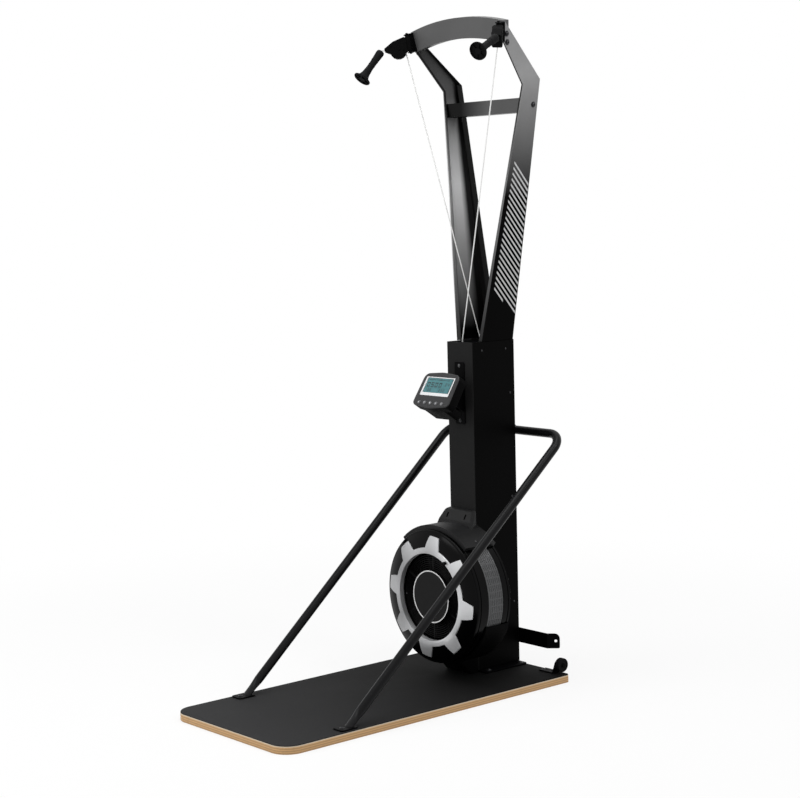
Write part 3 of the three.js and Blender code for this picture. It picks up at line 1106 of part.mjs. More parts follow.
function flywheel() {
  const axle_line = new THREE.Group();
  axle_line.position.z = AXLE_Z;
  part.add(axle_line);
  const bearing = (y) => ring(bore(AXLE_RADIUS, SMALL_TURN), BEARING_RADIUS, y, y + BEARING_WIDTH, SMALL_TURN);
  const middle_y = (FRONT_DRUM_Y + REAR_DRUM_Y) / 2;
  add(axle_line, 'front_housing', front_housing(), BLACK_PLASTIC);
  add(axle_line, 'outlet_band', outlet_band(), GRILLE_GREY);
  add(axle_line, 'rear_housing', rear_housing(), BLACK_PLASTIC);
  add(axle_line, 'damper_ring', damper_ring(), SILVER_PLASTIC);
  add(axle_line, 'inlet_grille', inlet_grille(), BLACK_PLASTIC);
  add(axle_line, 'hub_cap', hub_cap(), BLACK_PLASTIC);
  add(axle_line, 'flywheel_fan', flywheel_fan(), STEEL);
  add(axle_line, 'flywheel_axle', ring(0, AXLE_RADIUS, FRONT_BEARING_Y, middle_y + SHEAVE_WIDTH / 2 + SHAFT_END,
    SMALL_TURN), STEEL);
  add(axle_line, 'front_bearing', bearing(FRONT_BEARING_Y), STEEL);
  add(axle_line, 'rear_bearing', bearing(COLUMN_FRONT - HOUSING_WALL - 2 * FIT - BEARING_WIDTH), STEEL);
  add(axle_line, 'axle_sheave', sheave(AXLE_SHEAVE_RADIUS, middle_y, AXLE_RADIUS + FIT), STEEL);
}

// The cradle under the housing, and the shroud over its neck
function housing_base() {
  const rear = COLUMN_FRONT - 2 * FIT;
  const bottom = DECK_TOP + FIT;
  const block = (inset) => alongY(outline([
    [-CRADLE_FOOT_HALF_WIDTH + inset, bottom - inset], [CRADLE_FOOT_HALF_WIDTH - inset, bottom - inset],
    [CRADLE_TOP_HALF_WIDTH - inset, CRADLE_TOP - inset, CRADLE_RADIUS - inset],
    [-CRADLE_TOP_HALF_WIDTH + inset, CRADLE_TOP - inset, CRADLE_RADIUS - inset]]),
  CRADLE_FRONT_Y + inset, rear - inset);
  const saddle = (grow) => alongY(disc(0, AXLE_Z, HOUSING_RADIUS + grow), CRADLE_FRONT_Y - OVERRUN,
    rear + OVERRUN, 0, LARGE_TURN / 2);
  const cavity = cut(block(CRADLE_WALL), saddle(CRADLE_WALL + FIT));
  return cut(block(0), saddle(FIT), cavity);
}

function neck_shroud() {
  const rear = COLUMN_FRONT - FIT;
  const side = (inset) => alongX(outline([
    [rear + inset, SHROUD_LIP_Z], [rear + inset, SHROUD_TOP - inset],
    [SHROUD_BROW_Y + inset, SHROUD_BROW_Z - inset, SHROUD_BROW_RADIUS],
    [SHROUD_CHIN_Y + inset, SHROUD_CHIN_Z - inset, SHROUD_CHIN_RADIUS],
    [SHROUD_LIP_Y + inset, SHROUD_LIP_Z]]), -HOUSING_RADIUS, HOUSING_RADIUS);
  const front = (inset) => alongY(outline([
    [-SHROUD_FOOT_HALF_WIDTH + inset, SHROUD_LIP_Z - inset],
    [SHROUD_FOOT_HALF_WIDTH - inset, SHROUD_LIP_Z - inset],
    [SHROUD_TOP_HALF_WIDTH - inset, SHROUD_TOP, SHROUD_BROW_RADIUS],
    [-SHROUD_TOP_HALF_WIDTH + inset, SHROUD_TOP, SHROUD_BROW_RADIUS]]),
  SHROUD_LIP_Y - OVERRUN, COLUMN_FRONT + OVERRUN);
  const above = (inset) => alongZ(outline([
    [-SHROUD_FOOT_HALF_WIDTH + inset, SHROUD_LIP_Y - OVERRUN],
    [SHROUD_FOOT_HALF_WIDTH - inset, SHROUD_LIP_Y - OVERRUN],
    [SHROUD_TOP_HALF_WIDTH - inset, COLUMN_FRONT + OVERRUN],
    [-SHROUD_TOP_HALF_WIDTH + inset, COLUMN_FRONT + OVERRUN]]), SHROUD_LIP_Z - SHROUD_WALL, SHROUD_TOP);
  const skirt_front = BAND_FRONT_Y - SKIRT_LAP;
  const drum_space = alongY(disc(0, AXLE_Z, HOUSING_RADIUS + FIT), skirt_front - OVERRUN,
    COLUMN_FRONT + OVERRUN, 0, LARGE_TURN / 2);
  const slot = (x) => box(x - SHROUD_SLOT_WIDTH / 2, x + SHROUD_SLOT_WIDTH / 2, SHROUD_LIP_Y - OVERRUN,
    rear, SHROUD_SLOT_Z - SHROUD_SLOT_HEIGHT / 2, SHROUD_SLOT_Z + SHROUD_SLOT_HEIGHT / 2);
  const body = (inset) => side(inset).intersect(front(inset)).intersect(above(inset));
  const neck = cut(body(0), body(SHROUD_WALL), slot(-SHROUD_SLOT_X), slot(SHROUD_SLOT_X));
  const sector = (inset) => {
    const radius = HOUSING_RADIUS + FIT + SKIRT_RISE - inset;
    const reach = rad(SKIRT_HALF_ANGLE_DEG) - inset / HOUSING_RADIUS;
    const shape = new THREE.Shape();
    shape.absarc(0, AXLE_Z, radius, Math.PI / 2 - reach, Math.PI / 2 + reach, false);
    shape.absarc(0, AXLE_Z, HOUSING_RADIUS - OVERRUN, Math.PI / 2 + reach, Math.PI / 2 - reach, true);
    return alongY(shape, skirt_front + inset, rear - inset, 0, SMALL_TURN / 2);
  };
  const skirt = cut(sector(0), sector(SKIRT_THICKNESS));
  return cut(join(neck, skirt), drum_space);
}

// Presses the ends of the rail's legs flat: thinner through the leg and wider across it.
function pressed(geometry, toe, up_leg) {
  const places = geometry.attributes.position;
  const vertex = new THREE.Vector3();
  for (let i = 0; i < places.count; i += 1) {
    vertex.fromBufferAttribute(places, i);
    const side = Math.sign(vertex.x);
    const way = up_leg(side);
    const along = vertex.clone().sub(toe(side)).dot(way);
    const taper = THREE.MathUtils.clamp((along - RAIL_PRESS_LENGTH) / RAIL_PRESS_TAPER, 0, 1);
    if (taper === 1) continue;
    const centre = toe(side).addScaledVector(way, along);
    const offset = vertex.clone().sub(centre);
    const through = way.clone().cross(X).normalize();
    const depth = offset.dot(through);
    const across = offset.addScaledVector(through, -depth);
    vertex.copy(centre)
      .addScaledVector(across, THREE.MathUtils.lerp(RAIL_PRESS_WIDE_SHARE, 1, taper))
      .addScaledVector(through, depth * THREE.MathUtils.lerp(RAIL_PRESS_THIN_SHARE, 1, taper));
    places.setXYZ(i, vertex.x, vertex.y, vertex.z);
  }
  return geometry;
}

// Support rail, its clamp and its foot plates
function support_rail() {
  const corner = (side) => vector(side * RAIL_HALF_WIDTH, RAIL_Y, RAIL_Z);
  const foot = (side) => vector(side * RAIL_FOOT_X, RAIL_FOOT_Y, RAIL_FOOT_Z);
  const up_leg = (side) => corner(side).sub(foot(side)).normalize();
  const toe = (side) => foot(side).addScaledVector(up_leg(side), -RAIL_TOE_LENGTH);
  const press_rings = (side) => Array.from({ length: RAIL_PRESS_STEPS + 1 }, (_, i) =>
    toe(side).addScaledVector(up_leg(side), RAIL_PRESS_LENGTH + (RAIL_PRESS_TAPER * i) / RAIL_PRESS_STEPS));
  const run = bent([toe(-1), corner(-1), corner(1), toe(1)], RAIL_BEND_RADIUS, RAIL_BEND_STEPS);
  run.splice(1, 0, ...press_rings(-1));
  run.splice(-1, 0, ...press_rings(1).reverse());
  const rail = solid(pressed(tube_geometry(run, RAIL_RADIUS, RAIL_SIDES), toe, up_leg));
  const plate_top = DECK_TOP + FOOT_PLATE_THICKNESS + 2 * FIT;
  const below = box(-DECK_WIDTH, DECK_WIDTH, -DECK_LENGTH, DECK_LENGTH, -DECK_TOP, plate_top);
  add(part, 'support_rail', cut(rail, below), BLACK_PAINT);

  for (const [side, name] of [[-1, 'left'], [1, 'right']]) {
    const x = side * RAIL_FOOT_X;
    const plate = rectangle(x - FOOT_PLATE_WIDTH / 2, x + FOOT_PLATE_WIDTH / 2,
      RAIL_FOOT_Y - FOOT_PLATE_REACH, RAIL_FOOT_Y + FOOT_PLATE_HEEL, FOOT_PLATE_RADIUS);
    add(part, `${name}_foot_plate`, alongZ(plate, DECK_TOP + FIT, DECK_TOP + FIT + FOOT_PLATE_THICKNESS),
      BLACK_PAINT);
  }

  const hole_radius = bore(RAIL_RADIUS, RAIL_SIDES);
  const saddle_half = hole_radius + CLAMP_WALL;
  const face = COLUMN_REAR + FIT;
  const ear_half = saddle_half + CLAMP_EAR;
  const clamp = alongX(outline([
    [face, RAIL_Z - ear_half], [face + CLAMP_WALL, RAIL_Z - ear_half],
    [face + CLAMP_WALL, RAIL_Z - saddle_half], [RAIL_Y + saddle_half, RAIL_Z - saddle_half, hole_radius],
    [RAIL_Y + saddle_half, RAIL_Z + saddle_half, hole_radius], [face + CLAMP_WALL, RAIL_Z + saddle_half],
    [face + CLAMP_WALL, RAIL_Z + ear_half], [face, RAIL_Z + ear_half]]), -CLAMP_HALF_WIDTH, CLAMP_HALF_WIDTH);
  const channel = join(
    alongX(disc(RAIL_Y, RAIL_Z, hole_radius), -DECK_WIDTH, DECK_WIDTH, 0, RAIL_SIDES / 2),
    box(-DECK_WIDTH, DECK_WIDTH, face - OVERRUN, RAIL_Y, RAIL_Z - hole_radius, RAIL_Z + hole_radius));
  add(part, 'rail_clamp', cut(clamp, channel), BLACK_PAINT);
}

// Wall bracket: a strap with its ends bent back, each with a hole
function wall_bracket() {
  const front = COLUMN_REAR + FIT;
  const top = STRAP_BOTTOM + STRAP_HEIGHT;
  const bend = rad(STRAP_TAB_DEG);
  const strap = box(-STRAP_HALF_LENGTH, STRAP_HALF_LENGTH, front, front + STRAP_THICKNESS, STRAP_BOTTOM, top);
  const tab = alongY(outline([[0, STRAP_BOTTOM], [STRAP_TAB_LENGTH, STRAP_BOTTOM, STRAP_TAB_FOOT_RADIUS],
    [STRAP_TAB_LENGTH, top, STRAP_TAB_RADIUS], [0, top]]), 0, STRAP_THICKNESS);
  const hole = alongY(disc(STRAP_TAB_LENGTH - STRAP_HOLE_INSET, (STRAP_BOTTOM + top) / 2, STRAP_HOLE_RADIUS),
    -OVERRUN, STRAP_THICKNESS + OVERRUN, 0, HOLE_TURN / 2);
  const right_tab = placed(cut(tab, hole), [STRAP_HALF_LENGTH, front, 0], new THREE.Euler(0, 0, bend));
  const wedge = alongZ(outline([[STRAP_HALF_LENGTH - STRAP_THICKNESS, front],
    [STRAP_HALF_LENGTH, front],
    [STRAP_HALF_LENGTH + STRAP_THICKNESS, front + STRAP_THICKNESS],
    [STRAP_HALF_LENGTH - STRAP_THICKNESS * Math.sin(bend), front + STRAP_THICKNESS * Math.cos(bend)],
    [STRAP_HALF_LENGTH - STRAP_THICKNESS, front + STRAP_THICKNESS]]), STRAP_BOTTOM, top);
  const one_end = join(right_tab, wedge);
  add(part, 'wall_bracket', join(strap, one_end, mirrored(one_end)), BLACK_PAINT);
}

// Transport wheels on the rear corners
function transport_wheel(side, name) {
  const ear_outer = WHEEL_X - WHEEL_WIDTH / 2 - SIDE_PLAY;
  const ear_inner = ear_outer - WHEEL_BRACKET_THICKNESS;
  const bottom = DECK_TOP + FIT;
  const rear = DECK_END - REAR_CORNER_RADIUS / 2;
  const base = box(ear_outer - WHEEL_BRACKET_LENGTH, ear_outer, rear - WHEEL_BRACKET_DEPTH, rear,
    bottom, bottom + WHEEL_BRACKET_THICKNESS);
  const ear = alongX(outline([[rear - WHEEL_BRACKET_DEPTH, bottom], [rear, bottom],
    [WHEEL_Y + WHEEL_EAR_RADIUS, WHEEL_Z + WHEEL_EAR_RADIUS, WHEEL_EAR_RADIUS - FIT],
    [WHEEL_Y - WHEEL_EAR_RADIUS, WHEEL_Z + WHEEL_EAR_RADIUS, WHEEL_EAR_RADIUS - FIT]]), ear_inner, ear_outer);
  const head_inner = WHEEL_X + WHEEL_WIDTH / 2 + SIDE_PLAY;
  const stub = alongX(disc(WHEEL_Y, WHEEL_Z, WHEEL_STUB_RADIUS), ear_inner,
    head_inner + WHEEL_HEAD_THICKNESS, 0, HOLE_TURN / 2);
  const head = alongX(disc(WHEEL_Y, WHEEL_Z, WHEEL_HEAD_RADIUS), head_inner,
    head_inner + WHEEL_HEAD_THICKNESS);
  const bracket = join(base, ear, stub, head);
  add(part, `${name}_wheel_bracket`, side > 0 ? bracket : mirrored(bracket), BLACK_PAINT);

  const hole = bore(WHEEL_STUB_RADIUS, SMALL_TURN);
  const half = WHEEL_WIDTH / 2;
  const wheel = turned([[hole, -half], [WHEEL_RADIUS - WHEEL_TREAD_EDGE, -half],
    [WHEEL_RADIUS, -half + WHEEL_TREAD_EDGE], [WHEEL_RADIUS, half - WHEEL_TREAD_EDGE],
    [WHEEL_RADIUS - WHEEL_TREAD_EDGE, half], [hole, half]], SMALL_TURN);
  const mesh = add(part, `${name}_transport_wheel`, wheel, RUBBER);
  mesh.position.set(side * WHEEL_X, WHEEL_Y, WHEEL_Z);
  mesh.rotation.z = Math.PI / 2;
}

// Console
function console_body() {
  const half = CONSOLE_WIDTH / 2;
  const face = outline([
    [-half, CONSOLE_BOTTOM + CONSOLE_SWELL, CONSOLE_BOTTOM_RADIUS],
    [0, CONSOLE_BOTTOM - CONSOLE_SWELL / 2, CONSOLE_BOW_RADIUS],
    [half, CONSOLE_BOTTOM + CONSOLE_SWELL, CONSOLE_BOTTOM_RADIUS],
    [half - CONSOLE_SWELL / 2, CONSOLE_TOP - CONSOLE_SWELL / 2, CONSOLE_TOP_RADIUS],
    [0, CONSOLE_TOP + CONSOLE_SWELL / 2, CONSOLE_BOW_RADIUS],
    [-half + CONSOLE_SWELL / 2, CONSOLE_TOP - CONSOLE_SWELL / 2, CONSOLE_TOP_RADIUS]]);
  const front = alongY(face, 0, CONSOLE_DEPTH, CONSOLE_EDGE, 3);
  const hump = alongY(rectangle(-HUMP_WIDTH / 2, HUMP_WIDTH / 2, HUMP_BOTTOM, HUMP_TOP, HUMP_RADIUS),
    CONSOLE_DEPTH - 2 * HUMP_EDGE, CONSOLE_DEPTH + HUMP_DEPTH, HUMP_EDGE);
  const cell_box = alongY(rectangle(-CELL_BOX_WIDTH / 2, CELL_BOX_WIDTH / 2, CELL_BOX_BOTTOM, CELL_BOX_TOP,
    CELL_BOX_RADIUS), CONSOLE_DEPTH - 2 * CELL_BOX_EDGE, CELL_BOX_REACH, CELL_BOX_EDGE);
  const lug_half = TILT_LUG_WIDTH / 2;
  const lug = join(alongX(disc(TILT_Y, TILT_Z, TILT_LUG_RADIUS), -lug_half, lug_half, 0, 8),
    box(-lug_half, lug_half, CONSOLE_DEPTH, TILT_Y, TILT_Z - TILT_LUG_RADIUS, TILT_Z + TILT_LUG_RADIUS));
  const pin_hole = alongX(disc(TILT_Y, TILT_Z, bore(TILT_PIN_RADIUS, HOLE_TURN)), -lug_half - OVERRUN,
    lug_half + OVERRUN, 0, HOLE_TURN / 2);
  const recess = box(-SCREEN_WIDTH / 2 - FIT, SCREEN_WIDTH / 2 + FIT, -OVERRUN, SCREEN_RECESS,
    -SCREEN_HEIGHT / 2 - FIT, SCREEN_HEIGHT / 2 + FIT);
  const wells = button_places().map((x) => alongY(disc(x, BUTTON_Z, BUTTON_RADIUS + SIDE_PLAY),
    -OVERRUN, BUTTON_WELL, 0, HOLE_TURN / 2));
  return cut(join(front, hump, cell_box, lug), pin_hole, recess, ...wells);
}

const button_places = () =>
  Array.from({ length: BUTTON_COUNT }, (_, i) => (i - (BUTTON_COUNT - 1) / 2) * BUTTON_PITCH);

function console_unit() {
  const unit = new THREE.Group();
  unit.position.set(0, CONSOLE_Y, CONSOLE_Z);
  unit.rotation.x = -rad(CONSOLE_TILT_DEG);
  part.add(unit);
  part.updateMatrixWorld(true);
  add(unit, 'console_body', console_body(), BLACK_PLASTIC);

  const screen_front = SCREEN_RECESS - FIT - SCREEN_THICKNESS;
  const screen = box(-SCREEN_WIDTH / 2, SCREEN_WIDTH / 2, screen_front, SCREEN_RECESS - FIT,
    -SCREEN_HEIGHT / 2, SCREEN_HEIGHT / 2);
  const glass = box(-LCD_WIDTH / 2, LCD_WIDTH / 2, screen_front - OVERRUN, screen_front + LCD_RECESS,
    -LCD_HEIGHT / 2, LCD_HEIGHT / 2);
  add(unit, 'console_screen', cut(screen, glass), SCREEN_TEAL);

  const button = turned([[0, -BUTTON_PROUD], [BUTTON_RADIUS - BUTTON_EDGE, -BUTTON_PROUD],
    [BUTTON_RADIUS, -BUTTON_PROUD + BUTTON_EDGE], [BUTTON_RADIUS, BUTTON_WELL - BUTTON_TRAVEL - FIT],
    [0, BUTTON_WELL - BUTTON_TRAVEL - FIT]], HOLE_TURN);
  button_places().forEach((x, i) => {
    const mesh = add(unit, `console_button_${i + 1}`, button, GREY_PAINT);
    mesh.position.set(x, 0, BUTTON_Z);
  });

  // The bracket on the column, and the pin and knob that clamp the console in it
  const pivot = unit.localToWorld(vector(0, TILT_Y, TILT_Z));
  const gusset_inner = TILT_LUG_WIDTH / 2 + FIT;
  const gusset_outer = gusset_inner + BRACKET_THICKNESS;
  const face = COLUMN_FRONT - FIT;
  const plate = alongY(rectangle(-BRACKET_PLATE_HALF_WIDTH, BRACKET_PLATE_HALF_WIDTH, BRACKET_PLATE_BOTTOM,
    BRACKET_PLATE_TOP, BRACKET_PLATE_RADIUS), face - BRACKET_THICKNESS, face);
  const reach = TILT_LUG_RADIUS - FIT;
  const gusset_shape = outline([
    [face - BRACKET_THICKNESS / 2, GUSSET_BOTTOM], [face - BRACKET_THICKNESS / 2, GUSSET_TOP],
    [pivot.y - reach, pivot.z + reach, reach - FIT],
    [pivot.y - reach, pivot.z - reach, reach - FIT]].reverse());
  const pin_hole = alongX(disc(pivot.y, pivot.z, TILT_PIN_RADIUS + FIT), -gusset_outer - OVERRUN,
    gusset_outer + OVERRUN, 0, HOLE_TURN / 2);
  const bracket = join(plate, alongX(gusset_shape, gusset_inner, gusset_outer),
    alongX(gusset_shape, -gusset_outer, -gusset_inner));
  add(part, 'console_bracket', cut(bracket, pin_hole), BLACK_PAINT);

  const knob_near = gusset_outer + FIT;
  const pin = alongX(disc(pivot.y, pivot.z, TILT_PIN_RADIUS), -gusset_outer - FIT, knob_near + OVERRUN, 0,
    HOLE_TURN / 2);
  const knob = alongX(disc(pivot.y, pivot.z, TILT_KNOB_RADIUS), knob_near, knob_near + TILT_KNOB_THICKNESS,
    TILT_KNOB_EDGE, 8);
  const cap = alongX(disc(pivot.y, pivot.z, TILT_CAP_RADIUS),
    -gusset_outer - FIT - BRACKET_THICKNESS, -gusset_outer - FIT, 0, 8);
  add(part, 'tilt_knob', join(pin, knob, cap), BLACK_PLASTIC);
}

platform();
column();
frame();
pulley_head(-1, 'left');
pulley_head(1, 'right');
drive();
flywheel();
add(part, 'housing_base', housing_base(), BLACK_PLASTIC);
add(part, 'neck_shroud', neck_shroud(), BLACK_PLASTIC);
support_rail();
wall_bracket();
transport_wheel(-1, 'left');
transport_wheel(1, 'right');
console_unit();

export default part;
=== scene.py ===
"""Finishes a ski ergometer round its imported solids: covers, paint, plywood, cords, display and screws."""

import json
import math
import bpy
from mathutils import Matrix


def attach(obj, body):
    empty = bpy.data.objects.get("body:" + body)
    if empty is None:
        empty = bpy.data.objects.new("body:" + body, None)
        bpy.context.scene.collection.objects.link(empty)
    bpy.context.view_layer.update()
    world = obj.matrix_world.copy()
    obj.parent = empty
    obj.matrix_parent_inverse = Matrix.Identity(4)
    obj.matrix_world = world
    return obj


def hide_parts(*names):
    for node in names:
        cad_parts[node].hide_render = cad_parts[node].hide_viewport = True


bl_info = {
    "name": "Ski Ergometer",
    "version": (1, 0, 0),
    "blender": (4, 5, 0),
    "location": "3D View > Sidebar > Ski Ergometer",
    "description": "Builds the finished pieces of a ski ergometer and its plain studio",
    "category": "Object",
}

import bmesh
import bpy
from mathutils import Matrix, Vector

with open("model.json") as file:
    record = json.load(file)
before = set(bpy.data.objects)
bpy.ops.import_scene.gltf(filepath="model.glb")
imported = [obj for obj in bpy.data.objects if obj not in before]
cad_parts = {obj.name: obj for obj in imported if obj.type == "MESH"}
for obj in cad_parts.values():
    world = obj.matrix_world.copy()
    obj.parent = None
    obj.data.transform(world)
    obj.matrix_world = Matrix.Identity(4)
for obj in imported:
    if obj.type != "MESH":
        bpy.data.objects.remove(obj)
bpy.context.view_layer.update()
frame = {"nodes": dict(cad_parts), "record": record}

MM = 0.001
TURN = 2 * math.pi
SIDES = ((-1, "left"), (1, "right"))

# Sizes that the solids share, in millimetres. X is to the right, the user faces +Y, Z is up.
DECK_HALF_WIDTH = 300
DECK_HALF_LENGTH = 608
BOARD_TOP = 25
DECK_TOP = 28
FRONT_CORNER = 65
REAR_CORNER = 12
COLUMN_FRONT = 406
COLUMN_REAR = 602
COLUMN_TOP = 1163
COLUMN_HALF = 62.5
WEB_FOOT_X = 64
WEB_LEAN = math.radians(9)
WEB_FOOT_FRONT = 454
WEB_ELBOW_FRONT = 537
WEB_ELBOW_Z = 2017
WEB_FOOT_REAR = 596
WEB_ELBOW_REAR = 611
WEB_ELBOW_REAR_Z = 2037
HEAD_Y = 423
HEAD_Z = 2183
HEAD_LEAN = math.radians(7.3)
HEAD_ROLL = math.radians(10.4)
SWIVEL_REST = math.radians(42)
PULLEY_X = 222
HINGE_FORWARD = 19
PULLEY_FORWARD = 40
PULLEY_DROP = 15
PULLEY_RADIUS = 26
PULLEY_GROOVE = 4.5
PULLEY_WIDTH = 14
NOSE_FORWARD = 86
NOSE_DROP = 4
CORD_RADIUS = 2
CORD_BEND = 125
CORD_SIDES = 14
CORD_FORWARD = 16.5
CORD_TOP_DROP = 40
CORD_DRUM_X = 30
DRUM_Y = {"left": 533, "right": 447}
SHAFT_Z = 1040
HANDLE_GAP = 12
CORD_STUB = 4
FIT = 0.3
HANDLE_WAY = {"left": (-0.099, -0.638, -0.764), "right": (0.249, -0.883, -0.398)}
AXLE_Z = 308
HOUSING_RADIUS = 228
DOME_FRONT = 243
DOME_DROP = 14
DOME_SHOULDER = 4
SKIRT_RADIUS = 243.3
INLET_RADIUS = 152.5
SEAT_RADIUS = 172
BAND_FRONT = 306
BAND_REAR = 372
WALL = 3
RING_THICKNESS = 4
RING_INNER = 149
RING_BODY = 169
RING_TOOTH = 210
RING_TEETH = 8
RING_PHASE = math.radians(83)
TOOTH_TIP = math.radians(12)
TOOTH_BASE = math.radians(23)
PEG_TURN = math.radians(55)
PEG_CENTRE = 157
PEG_RADIUS = 6
PEG_HEIGHT = 11
HUB_CAP_RADIUS = 90
HUB_CAP_FRONT = 250
FAN_FRONT = 284
FAN_REAR = 384
FAN_RADIUS = 206
RAIL_RADIUS = 15
RAIL_HALF_WIDTH = 281
RAIL_Y = 617.3
RAIL_Z = 846
RAIL_FOOT = (268, -320, 44)
RAIL_BEND = 65
RAIL_TOE = 30
FOOT_TOP = 33.3
CONSOLE_Y = 301.7
CONSOLE_Z = 1019.9
CONSOLE_TILT = math.radians(-33)
BUTTON_PITCH = 28.4
BUTTON_Z = -63
WHEEL_X = 268
WHEEL_Y = 600
WHEEL_Z = 55
AXLE = (0, 0, AXLE_Z)
SHAFT = (0, 0, SHAFT_Z)
LARGE_SHEAVE = 48
SMALL_SHEAVE = 18
RECESS_DEPTH = 3
TILT_PIVOT = (69, -10)
FRONT_SLOPE = (WEB_ELBOW_FRONT - WEB_FOOT_FRONT) / (WEB_ELBOW_Z - COLUMN_TOP)
REAR_SLOPE = (WEB_ELBOW_REAR - WEB_FOOT_REAR) / (WEB_ELBOW_REAR_Z - COLUMN_TOP)


# Sizes and colours a user may change

def length(name, description, usual, least, soft_most):
    """A length whose default and limits are given in millimetres."""
    return bpy.props.FloatProperty(name=name, description=description, default=usual * MM,
                                   min=least * MM, soft_max=soft_most * MM, unit="LENGTH")


def number(name, description, usual, least, most):
    return bpy.props.IntProperty(name=name, description=description, default=usual, min=least, max=most)


def hue(name, description, usual):
    return bpy.props.FloatVectorProperty(name=name, description=description, default=usual,
                                         subtype="COLOR", min=0, max=1)


class ErgometerSizes(bpy.types.PropertyGroup):
    """Sizes of the finish"""

    fold_radius: length("Fold Radius", "Outer radius of folds and cut edges in sheet metal", 1.6, 0, 4)
    plastic_radius: length("Plastic Edge Radius", "Edge radius of moulded plastic parts", 2.5, 0, 6)
    stripe_count: number("Stripes", "Diagonal stripes on each upright", 24, 1, 40)
    stripe_pitch: length("Stripe Pitch", "Distance from one stripe to the next, up the upright", 20, 5, 40)
    stripe_share: bpy.props.FloatProperty(
        name="Stripe Share", description="Painted share of the stripe pitch",
        default=0.4, min=0.1, max=0.9, subtype="FACTOR")
    slot_rows: number("Slot Rows", "Rows of slots in the outlet band", 7, 1, 12)
    slots_round: number("Slots Round", "Slots in each row of the outlet band", 60, 12, 90)
    grille_rings: number("Grille Rings", "Concentric rings of the inlet grille", 8, 2, 12)
    fan_blades: number("Fan Blades", "Blades of the flywheel", 12, 6, 24)
    screw_radius: length("Screw Head Radius", "Head radius of the larger screws", 7, 2, 12)


class ErgometerColours(bpy.types.PropertyGroup):
    """Colours of the finish"""

    black_paint: hue("Black Paint", "Powder coat of column, rail and brackets", (0.0012, 0.0012, 0.0014))
    grey_paint: hue("Grey Paint", "Satin paint of arch, crossbar and uprights", (0.086, 0.086, 0.0865))
    gloss_plastic: hue("Gloss Plastic", "Flywheel housing", (0.0012, 0.0012, 0.0014))
    matt_plastic: hue("Matt Plastic", "Shroud, base, pulley housings and console", (0.0115, 0.0115, 0.012))
    silver: hue("Silver Paint", "Toothed ring", (0.6, 0.605, 0.615))
    mat: hue("Mat", "Rubber mat of the platform", (0.036, 0.036, 0.037))
    veneer: hue("Veneer", "Plywood of the platform", (0.52, 0.31, 0.135))
    stripe: hue("Stripe", "Stripes on the uprights", (0.5, 0.505, 0.51))
    cord: hue("Cord", "Pull cords", (0.93, 0.93, 0.92))
    display: hue("Display", "Lit glass of the display", (0.055, 0.17, 0.185))


# Materials

